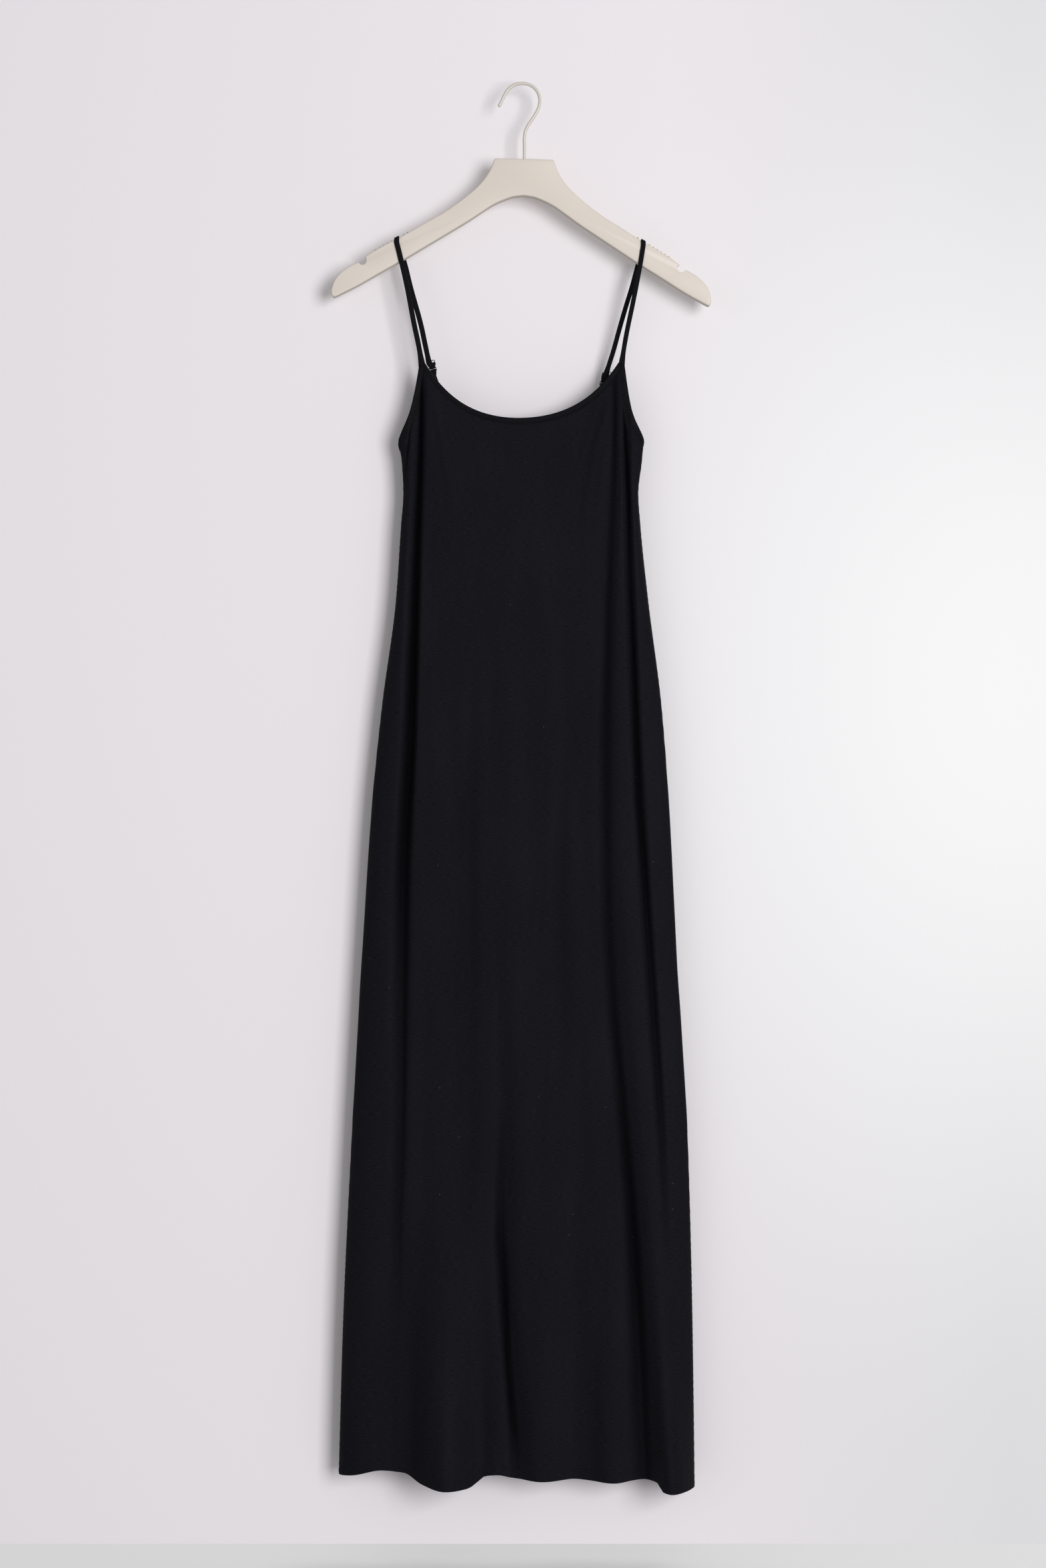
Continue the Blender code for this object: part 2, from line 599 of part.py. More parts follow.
def shoulder_at(across):
    """Height and slope of the hanger's upper edge at a place across."""
    out, height = columns_of(SHOULDER)
    places = np.linspace(out[1], out[-2], 200)
    sign = 1 if across > HANGER_AT[0] else -1
    edge = np.array([on_row_frame((sign * x, float(smooth(out, height, x)))) for x in places])
    edge = edge[np.argsort(edge[:, 0])]
    reach = 3.0
    low, here, high = (float(np.interp(across + d, edge[:, 0], edge[:, 1])) for d in (-reach, 0, reach))
    return here, (high - low) / (2 * reach)


def ribbon(name, collection, finish, stops):
    """A flat band through stops: its middle, the way its width runs, its width and thickness."""
    middles, ways, widths, thickness = (np.array(column, float) for column in zip(*stops))
    across = unit(ways) * widths[:, None] / 2
    shares = np.array((1.0, 0.0, -1.0))[None, :, None]
    wall(name, collection, finish, middles[:, None, :] + across[:, None, :] * shares, thickness[:, None])


def spaced(route, pitch):
    """Points at an even pitch along a smooth curve through a flat route."""
    route = np.asarray(route, float)
    lengths = np.concatenate(([0], np.cumsum(np.linalg.norm(np.diff(route, axis=0), axis=1))))
    at = np.linspace(0, lengths[-1], max(3, int(round(lengths[-1] / pitch)) + 1))
    return np.stack([smooth(lengths, route[:, axis], at) for axis in (0, 1)], axis=1)


def strap_stops(seam, path):
    """Stops of a strap: foot, front run, over the shoulder, back run, round the ring, to the slide."""
    outer, inner = foot_line(seam, "front")
    ends, _ = seam_point(seam, np.array((outer[0], inner[0])), np.array((outer[1], inner[1])))
    ends[:, 2] += BUTT_GAP
    left_end, right_end = (ends if seam == "left" else ends[::-1])
    foot = (left_end + right_end) / 2
    stops = [(foot, left_end - right_end, np.linalg.norm(left_end - right_end), STRAP)]
    top, slope = shoulder_at(path.top)
    run = spaced([(foot[0], foot[2]), *path.front_run, (path.top, top - 4.0)], 14.0)[1:]
    depth = np.linspace(foot[1], STRAP_FRONT, 4)[1:]
    for n, (x, z) in enumerate(run):
        way = (run[n] - run[n - 1]) if n else (run[0] - (foot[0], foot[2]))
        y = depth[n] if n < len(depth) else STRAP_FRONT
        stops.append(((x, y, z), (-way[1], 0, way[0]), STRAP_WIDTH, STRAP))
    lift = STRAP_LIFT * math.hypot(1, slope)
    over = ((STRAP_FRONT, -1.2), (-6.9, 0.35), (-6.1, 1.0), (-4.6, lift), (0.0, lift),
            (4.6, lift), (6.1, 1.0), (6.9, 0.35), (STRAP_BACK, -1.2))
    stops.extend(((path.top, y, top + z), (-1, 0, -slope), STRAP_WIDTH, STRAP) for y, z in over)
    way = np.array(path.back_way)
    ring = np.array(path.ring)
    slide = ring - way * SLIDE_TO_RING
    across = (way[1], 0, -way[0])
    run = spaced([(path.top, top - 4.0), *path.back_run, slide - way * 5.5], 16.0)
    for n, (x, z) in enumerate(run):
        step = (run[n] - run[n - 1]) if n else (run[1] - run[0])
        thick = STRAP_THIN if n == len(run) - 1 else STRAP
        stops.append(((x, STRAP_BACK, z), (step[1], 0, -step[0]), STRAP_WIDTH, thick))
    wire = SLIDE_TO_RING - RING_RADIUS
    turn = [(wire + TURN * math.sin(a), RING_PLANE - LEG * math.cos(a))
            for a in np.linspace(0, math.pi, 9)]
    passage = [(0.0, STRAP_BACK, STRAP_WIDTH), (3.0, STRAP_BACK, PINCHED + 1.0)]
    passage += [(s, y, PINCHED) for s, y in turn]
    passage += [(2.6, RING_PLANE + LEG, PINCHED + 1.0), (-0.9, RING_PLANE + LEG, STRAP_WIDTH)]
    for s, y, width in passage:
        x, z = slide + way * s
        stops.append(((x, y, z), across, width, STRAP_THIN))
    return stops


def tab_stops(seam, path):
    """Stops of a tab: up the outside of the back's tip, through the ring, down the inside."""
    outer, inner = foot_line(seam, "back")
    middle = (outer + inner) / 2
    levels = middle[1] - np.array((TAB_LAP, TAB_LAP / 2, 0.5))
    points, normals = seam_point(seam, np.full(3, -middle[0]), levels)
    edges = [seam_point(seam, np.full(3, -middle[0] + d), levels)[0] for d in (-2.5, 2.5)]
    way = np.array(path.back_way)
    across = np.array((way[1], 0, -way[0]))
    ways = edges[0] - edges[1]
    ways *= np.sign(ways @ across)[:, None]
    wire = np.array(path.ring) + way * RING_RADIUS
    outside = [(points[n] + normals[n] * TAB_LEG, ways[n], STRAP_WIDTH, STRAP_THIN) for n in range(3)]
    inside = [(points[n] - normals[n] * TAB_LEG, ways[n], STRAP_WIDTH, STRAP_THIN) for n in (2, 1, 0)]
    turn = []
    for a in np.linspace(0, math.pi, 9):
        x, z = wire - way * TURN * math.sin(a)
        turn.append(((x, RING_PLANE + LEG * math.cos(a), z), across, PINCHED, STRAP_THIN))
    return outside + turn + inside


def rounded_box(wide, high, middle, corner):
    """Outline of a box with round corners, its middle moved up by a distance."""
    outline = []
    for right, up, start in ((1, 1, 0), (-1, 1, 90), (-1, -1, 180), (1, -1, 270)):
        for turn in (0, 45, 90):
            angle = math.radians(start + turn)
            outline.append((right * (wide / 2 - corner) + corner * math.cos(angle),
                            middle + up * (high / 2 - corner) + corner * math.sin(angle)))
    return outline


def plate(name, outlines, thickness):
    """A flat plate stood up in the XZ plane: the first outline, less the others."""
    shape = bpy.data.curves.new(name, "CURVE")
    shape.dimensions = "2D"
    shape.fill_mode = "BOTH"
    shape.extrude = thickness / 2 * MM
    for outline in outlines:
        spline = shape.splines.new("POLY")
        spline.points.add(len(outline) - 1)
        for point, (x, z) in zip(spline.points, outline):
            point.co = (x * MM, z * MM, 0, 1)
        spline.use_cyclic_u = True
    stood = bpy.data.objects.new(name, shape)
    stood.rotation_euler = (QUARTER, 0, 0)
    return stood


def slide_and_ring(seam, path, collection):
    """A flat slide with two windows, and the ring below it."""
    way = np.array(path.back_way)
    ring = np.array(path.ring)
    slide = ring - way * SLIDE_TO_RING
    window = (SLIDE_HEIGHT - 3 * SLIDE_BAR) / 2
    shift = (window + SLIDE_BAR) / 2
    inner = SLIDE_WIDTH - 2 * SLIDE_BAR
    outlines = [rounded_box(SLIDE_WIDTH, SLIDE_HEIGHT, 0, SLIDE_CORNER)]
    outlines += [rounded_box(inner, window, up, WINDOW_CORNER) for up in (shift, -shift)]
    shape = plate("slider_" + seam, outlines, SLIDE_THICK)
    shape.rotation_euler.y = -math.atan2(way[0], -way[1])
    shape.location = (slide[0] * MM, RING_PLANE * MM, slide[1] * MM)
    link(shape, collection, BLACK_PLASTIC)
    bpy.ops.mesh.primitive_torus_add(major_radius=RING_RADIUS * MM, minor_radius=RING_WIRE * MM,
                                     major_segments=20, minor_segments=6,
                                     location=(ring[0] * MM, RING_PLANE * MM, ring[1] * MM),
                                     rotation=(QUARTER, 0, 0))
    hoop = bpy.context.object
    hoop.name = "ring_" + seam
    hoop.data.name = hoop.name
    link(hoop, collection, BLACK_PLASTIC)


# ---------------------------------------------------------------- hanger

def on_hanger(shape):
    """Hang a shape that was made in the hanger's upright frame."""
    shape.location = (HANGER_AT[0] * MM, 0, HANGER_AT[1] * MM)
    shape.rotation_euler.y = HANGER_TILT
    return shape


def as_mesh(shape):
    """A curve object made a mesh object with welded caps, so that it can be cut."""
    bpy.context.view_layer.update()
    graph = bpy.context.evaluated_depsgraph_get()
    mesh = bpy.data.meshes.new_from_object(shape.evaluated_get(graph))
    welded = bmesh.new()
    welded.from_mesh(mesh)
    bmesh.ops.remove_doubles(welded, verts=welded.verts, dist=1e-6)
    bmesh.ops.dissolve_limit(welded, angle_limit=math.radians(1), verts=welded.verts, edges=welded.edges)
    welded.to_mesh(mesh)
    welded.free()
    made = bpy.data.objects.new(shape.name, mesh)
    made.matrix_world = shape.matrix_world.copy()
    name = shape.name
    bpy.data.objects.remove(shape, do_unlink=True)
    made.name = name
    return made


def cut(shape, cutter, cutters):
    """Take a cutter away from a shape."""
    link(cutter, cutters)
    cutter.hide_render = True
    cutter.display_type = "WIRE"
    change = shape.modifiers.new(cutter.name, "BOOLEAN")
    change.operation = "DIFFERENCE"
    change.object = cutter


def hanger_outline():
    """The plate's outline: right shoulder, tip and underside, then the same mirrored."""
    out, height = columns_of(SHOULDER)
    tight = np.linspace(out[0], 61.0, 9)
    straight = np.linspace(74.0, 170.0, 9)
    end = (175.0, 180.0, 187.0, 193.0, 199.0, 203.5, 207.0, 209.0)
    half = [(x, float(smooth(out, height, x))) for x in (*tight, *straight, *end)]
    half += TIP
    out, height = columns_of(UNDERSIDE)
    half += [(x, float(smooth(out, height, x))) for x in (204.0, 180.0, 130.0, 80.0, 58.0, 48.0, 40.0,
                                                          32.5, 25.0, 18.0, 11.0, 5.0)]
    middle = [(0.0, UNDERSIDE[-1][1])]
    return half + middle + [(-x, z) for x, z in reversed(half)]


def grip_line(sign):
    """Start and direction of a shoulder's grip strip, and its length."""
    start, end = (np.array((sign * x, z)) for x, z in GRIP_ENDS)
    length = float(np.linalg.norm(end - start))
    return start, (end - start) / length, length


def hanger_body(collection, cutters):
    """The plate, with a notch in each shoulder, grooves for the grips and a hole for the stem."""
    flat = link(on_hanger(plate("hanger_body", [hanger_outline()], HANGER_THICK)), collection)
    body = link(as_mesh(flat), collection, CREAM_PAINT)
    ease = body.modifiers.new("eased edges", "BEVEL")
    ease.width = HANGER_EASE * MM
    ease.segments = 1
    ease.limit_method = "ANGLE"
    ease.angle_limit = math.radians(60)
    for seam, sign in (("left", -1), ("right", 1)):
        bpy.ops.mesh.primitive_cylinder_add(vertices=20, radius=NOTCH_RADIUS * MM,
                                            depth=2 * HANGER_THICK * MM)
        notch = bpy.context.object
        notch.name = "notch_cutter_" + seam
        notch.data.transform(Matrix.Rotation(QUARTER, 4, "X"))
        notch.data.transform(Matrix.Translation((sign * NOTCH_AT[0] * MM, 0, NOTCH_AT[1] * MM)))
        cut(body, on_hanger(notch), cutters)
        start, way, length = grip_line(sign)
        middle = start + way * length / 2
        bpy.ops.mesh.primitive_cube_add(size=MM)
        groove = bpy.context.object
        groove.name = "groove_cutter_" + seam
        groove.data.transform(Matrix.Diagonal((length + 2 * GRIP_GAP, GRIP_WIDTH + 2 * GRIP_GAP,
                                               2 * (GRIP_DEPTH + GRIP_GAP), 1)))
        groove.data.transform(Matrix.Rotation(-math.atan2(way[1], way[0]), 4, "Y"))
        groove.data.transform(Matrix.Translation((middle[0] * MM, 0, middle[1] * MM)))
        cut(body, on_hanger(groove), cutters)
    bpy.ops.mesh.primitive_cylinder_add(vertices=16, radius=STEM_HOLE_RADIUS * MM,
                                        depth=2 * STEM_HOLE_DEPTH * MM)
    hole = bpy.context.object
    hole.name = "stem_hole_cutter"
    hole.location = (HOOK_LINE[0][0] * MM, 0, HANGER_AT[1] * MM)
    cut(body, hole, cutters)


def grip(seam, sign, collection):
    """A strip with ribs across it, clear of ribs where the strap passes."""
    start, way, length = grip_line(sign)
    up = np.array((-way[1], way[0])) * sign
    strap = STRAP_LEFT.top if seam == "left" else STRAP_RIGHT.top
    profile = [(0.0, -GRIP_DEPTH), (0.0, 0.0)]
    first = (length - (RIBS - 1) * RIB_PITCH) / 2
    for n in range(RIBS):
        middle = first + n * RIB_PITCH
        across, _ = on_row_frame(start + way * middle)
        if abs(across - strap) < RIB_CLEAR:
            continue
        profile += [(middle - RIB_FOOT / 2, 0.0), (middle - RIB_TOP / 2, RIB_HEIGHT),
                    (middle + RIB_TOP / 2, RIB_HEIGHT), (middle + RIB_FOOT / 2, 0.0)]
    profile += [(length, 0.0), (length, -GRIP_DEPTH)]
    outline = [start + way * s + up * h for s, h in profile]
    link(on_hanger(plate("grip_" + seam, [outline], GRIP_WIDTH)), collection, GREY_RUBBER)


def hanger_hook(collection):
    """The wire, from its foot inside the plate up and round the crown to its tip."""
    route = np.array(((HOOK_LINE[0][0], STEM_FOOT), *HOOK_LINE))
    lengths = np.concatenate(([0], np.cumsum(np.linalg.norm(np.diff(route, axis=0), axis=1))))
    at = np.concatenate((np.linspace(0, lengths[3], 4)[:-1], np.linspace(lengths[3], lengths[-1], 34)))
    wire = bpy.data.curves.new("hanger_hook", "CURVE")
    wire.dimensions = "3D"
    wire.bevel_depth = HOOK_WIRE * MM
    wire.bevel_resolution = 2
    wire.use_fill_caps = True
    spline = wire.splines.new("POLY")
    spline.points.add(len(at) - 1)
    slopes = np.gradient(route, lengths, axis=0)
    for point, s in zip(spline.points, at):
        row = min(int(np.searchsorted(lengths, s, side="right")) - 1, len(lengths) - 2)
        width = lengths[row + 1] - lengths[row]
        t = (s - lengths[row]) / width
        place = ((1 + 2 * t) * (1 - t) ** 2 * route[row] + t * (1 - t) ** 2 * width * slopes[row]
                 + t * t * (3 - 2 * t) * route[row + 1] + t * t * (t - 1) * width * slopes[row + 1])
        point.co = (place[0] * MM, 0, place[1] * MM, 1)
    link(bpy.data.objects.new("hanger_hook", wire), collection, CREAM_WIRE)


# ---------------------------------------------------------------- the whole

def main():
    """Clear the scene and make the dress and its hanger."""
    for other in list(bpy.data.objects):
        bpy.data.objects.remove(other, do_unlink=True)
    parts = bpy.data.collections.new("slip_dress_on_hanger")
    cutters = bpy.data.collections.new("cutters")
    bpy.context.scene.collection.children.link(parts)
    bpy.context.scene.collection.children.link(cutters)
    for side in ("front", "back"):
        panel(side, parts)
        neck_binding(side, parts)
    for seam, path in (("left", STRAP_LEFT), ("right", STRAP_RIGHT)):
        armhole_binding(seam, parts)
        ribbon("strap_" + seam, parts, BLACK_JERSEY, strap_stops(seam, path))
        ribbon("tab_" + seam, parts, BLACK_JERSEY, tab_stops(seam, path))
        slide_and_ring(seam, path, parts)
    hanger_body(parts, cutters)
    hanger_hook(parts)
    for seam, sign in (("left", -1), ("right", 1)):
        grip(seam, sign, parts)


main()
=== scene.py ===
"""Slip dress on its coat hanger: the finished surfaces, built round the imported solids.

Each class makes the fine form of some of the solids and dresses it. Fields that are sizes are
in millimetres, and every mesh is made in metres. +X is the viewer's right, -Y the front and +Z
up, and the origin is the underside of the hook's crown.
"""
from __future__ import annotations

import logging
import math
from contextlib import contextmanager
from dataclasses import dataclass, field
from enum import Enum
from typing import Iterator, NamedTuple, Sequence

import bmesh
import bpy
import numpy as np
from mathutils import Matrix, Vector

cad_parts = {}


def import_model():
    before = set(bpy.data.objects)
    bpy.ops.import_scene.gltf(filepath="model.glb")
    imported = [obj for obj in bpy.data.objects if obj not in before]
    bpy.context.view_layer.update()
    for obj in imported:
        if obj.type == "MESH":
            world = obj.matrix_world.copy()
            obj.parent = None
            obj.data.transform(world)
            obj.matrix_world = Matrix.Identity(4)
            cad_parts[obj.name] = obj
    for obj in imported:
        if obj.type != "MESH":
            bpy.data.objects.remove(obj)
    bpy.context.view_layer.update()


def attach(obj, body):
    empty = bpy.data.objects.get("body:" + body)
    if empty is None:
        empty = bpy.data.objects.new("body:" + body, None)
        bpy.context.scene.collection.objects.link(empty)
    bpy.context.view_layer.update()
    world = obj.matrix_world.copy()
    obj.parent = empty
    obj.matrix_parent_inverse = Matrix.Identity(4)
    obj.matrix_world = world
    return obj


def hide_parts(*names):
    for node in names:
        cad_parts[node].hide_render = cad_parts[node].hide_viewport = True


LOG = logging.getLogger("slip_dress")
MM = 0.001
QUARTER = math.pi / 2
BODY = "root"
PAINTED_SHADE = "painted_shade"
Array = np.ndarray
Mesh = bpy.types.Mesh
Piece = bpy.types.Object
Material = bpy.types.Material
Socket = bpy.types.NodeSocket
Table = Sequence[Sequence[float]]
Pair = tuple[float, float]
Triple = tuple[float, float, float]
Colour = tuple[float, float, float, float]


class Side(Enum):
    """Which panel of the dress."""

    FRONT = "front"
    BACK = "back"


class Seam(Enum):
    """Which side of the dress, as the viewer sees it."""

    LEFT = "left"
    RIGHT = "right"


# -------- tables and curves

def smooth(places: Sequence[float], values: Sequence[float], at: Array | float) -> Array:
    """Read a monotone cubic through a table, level at the table's peaks.

    Args:
        places: Rising or falling places of the table.
        values: The value at each place.
        at: Places to read, held within the table.

    Returns:
        The value at each place asked for.
    """
    places = np.asarray(places, float)
    values = np.asarray(values, float)
    if places[0] > places[-1]:
        places, values = places[::-1], values[::-1]
    widths = np.diff(places)
    slopes = np.diff(values) / widths
    tangents = np.concatenate((slopes[:1], np.zeros(len(slopes) - 1), slopes[-1:]))
    before, after = slopes[:-1], slopes[1:]
    weight_before = 2 * widths[1:] + widths[:-1]
    weight_after = widths[1:] + 2 * widths[:-1]
    same_way = before * after > 0
    share = np.where(same_way, before, 1.0), np.where(same_way, after, 1.0)
    mean = (weight_before + weight_after) / (weight_before / share[0] + weight_after / share[1])
    tangents[1:-1] = np.where(same_way, mean, 0.0)
    at = np.clip(at, places[0], places[-1])
    row = np.clip(np.searchsorted(places, at) - 1, 0, len(widths) - 1)
    t = (at - places[row]) / widths[row]
    rise = widths[row]
    return ((1 + 2 * t) * (1 - t) ** 2 * values[row] + t * (1 - t) ** 2 * rise * tangents[row]
            + t * t * (3 - 2 * t) * values[row + 1] + t * t * (t - 1) * rise * tangents[row + 1])


def columns_of(table: Table) -> tuple[tuple[float, ...], ...]:
    """Turn a table of rows into its columns."""
    return tuple(zip(*table))


def unit(vectors: Array) -> Array:
    """Bring each vector to length one."""
    return vectors / np.linalg.norm(vectors, axis=-1, keepdims=True)


def bell(distance: Array, width: float) -> Array:
    """A soft bump of height one about zero."""
    return np.exp(-(distance / width) ** 2)


def run_of(line: Array) -> Array:
    """The distance along a line at each of its stops."""
    return np.concatenate(([0], np.cumsum(np.linalg.norm(np.diff(line, axis=0), axis=1))))


def angles_round(count: int) -> Array:
    """Even angles once round a circle."""
    return np.linspace(0, 2 * math.pi, count, endpoint=False)


def across_of(way: Sequence[float]) -> Array:
    """A quarter turn on from a direction given as across and up."""
    return np.array((-way[1], way[0]))


def flowing(points: Array, per_span: int) -> Array:
    """Run a smooth curve through rows of numbers.

    Args:
        points: One row a stop.
        per_span: New rows for each gap between stops.

    Returns:
        The finer rows, first and last stop included.
    """
    gaps = np.linalg.norm(np.diff(points[:, :3], axis=0), axis=1) ** 0.5
    knots = np.concatenate(([0.0], np.cumsum(gaps)))
    slopes = np.gradient(points, knots, axis=0)
    rows = []
    for n, gap in enumerate(gaps):
        t = np.linspace(0, 1, per_span, endpoint=False)[:, None]
        rows.append((1 + 2 * t) * (1 - t) ** 2 * points[n] + t * (1 - t) ** 2 * gap * slopes[n]
                    + t * t * (3 - 2 * t) * points[n + 1] + t * t * (t - 1) * gap * slopes[n + 1])
    return np.concatenate((*rows, points[-1:]))


def moved_in(edge: Array, distance: float) -> Array:
    """Move an edge, given as round and up, into the cloth by a distance."""
    step = unit(np.gradient(edge, axis=0))
    return edge + distance * np.stack((step[:, 1], -step[:, 0]), axis=1)


@dataclass(frozen=True)
class Ripple:
    """An uneven wave along a seam: its height and length, and how far and how slowly it drifts."""

    height: float
    length: float
    drift: float
    slow: float

    def at(self, run: Array) -> Array:
        """The wave at distances along the seam."""
        return self.height * np.sin(2 * math.pi * run / self.length + self.drift * np.sin(run / self.slow))


# -------- meshes

def show(made: Piece) -> Piece:
    """Link an object to the scene."""
    bpy.context.scene.collection.objects.link(made)
    return made


@contextmanager
def editing(mesh: Mesh) -> Iterator[bmesh.types.BMesh]:
    """Open a mesh for editing, and write it back at the end."""
    work = bmesh.new()
    work.from_mesh(mesh)
    yield work
    work.to_mesh(mesh)
    work.free()


def keep_mesh(name: str, mesh: Mesh, material: Material) -> Piece:
    """Put a finished mesh in the scene.

    Args:
        name: The name of mesh and object.
        mesh: The mesh, in metres from the origin.
        material: The one material on all of it.

    Returns:
        The object.
    """
    mesh.name = name
    mesh.materials.clear()
    mesh.materials.append(material)
    return show(bpy.data.objects.new(name, mesh))


def mesh_of(name: str, places: Array, faces: Sequence[Sequence[int]]) -> Mesh:
    """Make a smooth mesh.

    Args:
        name: The mesh's name.
        places: Vertices in millimetres.
        faces: The vertices' numbers round each face.

    Returns:
        The mesh, its faces turned outwards.
    """
    mesh = bpy.data.meshes.new(name)
    mesh.from_pydata((places * MM).tolist(), [], faces)
    with editing(mesh) as turned:
        bmesh.ops.recalc_face_normals(turned, faces=turned.faces)
    mesh.shade_smooth()
    return mesh


def lay_map(mesh: Mesh, flat: Array) -> None:
    """Give a mesh a UV map in metres of cloth.

    Args:
        mesh: The mesh.
        flat: Place across and along the cut cloth for each vertex, in millimetres.
    """
    layer = mesh.uv_layers.new(name="cloth")
    corners = np.empty(len(mesh.loops), np.int32)
    mesh.loops.foreach_get("vertex_index", corners)
    layer.data.foreach_set("uv", (flat[corners] * MM).astype(np.float32).ravel())


def shell(name: str, outer: Array, inner: Array, flat: Array) -> Mesh:
    """Close two layers of a grid into a wall.

    Args:
        name: The mesh's name.
        outer: Rows by columns of places on the outer face.
        inner: The same for the inner face.
        flat: Rows by columns of places on the cut cloth.

    Returns:
        A closed mesh with a map of the cloth.
    """
    rows, columns = outer.shape[:2]
    number = np.arange(rows * columns).reshape(rows, columns)
    quads = np.stack((number[:-1, :-1], number[1:, :-1], number[1:, 1:], number[:-1, 1:]), axis=-1)
    faces = [quads.reshape(-1, 4), quads[..., ::-1].reshape(-1, 4) + rows * columns]
    around = np.concatenate((number[0], number[1:, -1], number[-1, -2::-1], number[-2:0:-1, 0]))
    after = np.roll(around, -1)
    faces.append(np.stack((around, after, after + rows * columns, around + rows * columns), axis=-1))
    places = np.concatenate((outer.reshape(-1, 3), inner.reshape(-1, 3)))
    mesh = mesh_of(name, places, np.concatenate(faces).tolist())
    lay_map(mesh, np.concatenate((flat.reshape(-1, 2),) * 2))
    return mesh


def sleeve(name: str, rings: Array, flat: Array) -> Mesh:
    """Close a row of rings into a tube with a cap at each end.

    Args:
        name: The mesh's name.
        rings: Stations by points round the ring, in millimetres.
        flat: The same on the cut cloth.

    Returns:
        A closed mesh with a map of the cloth.
    """
    stations, around = rings.shape[:2]
    number = np.arange(stations * around).reshape(stations, around)
    beside = np.roll(number, -1, axis=1)
    quads = np.stack((number[:-1], beside[:-1], beside[1:], number[1:]), axis=-1).reshape(-1, 4)
    mesh = mesh_of(name, rings.reshape(-1, 3), quads.tolist() + [number[0].tolist(), number[-1].tolist()])
    lay_map(mesh, flat.reshape(-1, 2))
    return mesh


def hoops(path: Array, along: Array, radius: Array | float, around: int) -> Array:
    """Set a ring of points round each stop of a line that lies in an upright plane.

    Args:
        path: The stops.
        along: The line's direction at each stop.
        radius: The ring's radius at each stop, or one for all.
        around: Points round a ring.

    Returns:
        Stops by points round the ring.
    """
    side = np.array((0.0, 1.0, 0.0))
    up = np.cross(along, side)
    angle = angles_round(around)
    out = np.cos(angle)[None, :, None] * side + np.sin(angle)[None, :, None] * up[:, None]
    return path[:, None] + np.reshape(radius, (-1, 1, 1)) * out


def evaluated(shape: Piece) -> Mesh:
    """Copy the mesh that an object's modifiers make."""
    bpy.context.view_layer.update()
    graph = bpy.context.evaluated_depsgraph_get()
    return bpy.data.meshes.new_from_object(shape.evaluated_get(graph))


def as_mesh(shape: Piece) -> Mesh:
    """Turn an object into a plain mesh.

    Args:
        shape: The object, which is removed.

    Returns:
        Its evaluated mesh, welded, with the object's place applied.
    """
    mesh = evaluated(shape)
    mesh.transform(shape.matrix_world)
    with editing(mesh) as welded:
        bmesh.ops.remove_doubles(welded, verts=welded.verts, dist=1e-6)
    bpy.data.objects.remove(shape, do_unlink=True)
    return mesh


def bevel(piece: Piece, name: str, width: float, segments: int, degrees: float | None = None) -> None:
    """Round the edges of a piece.

    Args:
        piece: The piece.
        name: The modifier's name.
        width: Width of the rounding.
        segments: Faces across it.
        degrees: The least turn of an edge that is rounded, where it isn't the modifier's own.
    """
    rounded = piece.modifiers.new(name, "BEVEL")
    rounded.width = width * MM
    rounded.segments = segments
    if degrees:
        rounded.limit_method = "ANGLE"
        rounded.angle_limit = math.radians(degrees)


def finish_piece(piece: Piece, slot: str, *nodes: str) -> Piece:
    """Let a piece ride on the body and hide the solids that it stands for.

    Args:
        piece: The finished piece.
        slot: Not used.
        nodes: The solids that it replaces.

    Returns:
        The piece.
    """
    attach(piece, BODY)
    if nodes:
        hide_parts(*nodes)
    LOG.info("%s: %d faces", piece.name, len(piece.data.polygons))
    return piece


# -------- finishes

class NodeTree:
    """A node tree, with short ways to add to it."""

    def __init__(self, tree: bpy.types.NodeTree) -> None:
        """Hold the tree."""
        self.tree = tree

    def add(self, kind: str, settings: dict | None = None, **inputs: object) -> bpy.types.Node:
        """Add a node.

        Args:
            kind: The node's type.
            settings: Its properties.
            inputs: Values or output sockets for its inputs, spaces written as underscores.

        Returns:
            The node.
        """
        node = self.tree.nodes.new(kind)
        for name, value in (settings or {}).items():
            setattr(node, name, value)
        for name, value in inputs.items():
            self.feed(node.inputs[name.replace("_", " ")], value)
        return node

    def feed(self, socket: Socket, value: object) -> None:
        """Link an output to a socket, or set the socket's value."""
        if isinstance(value, Socket):
            self.tree.links.new(value, socket)
        else:
            socket.default_value = value


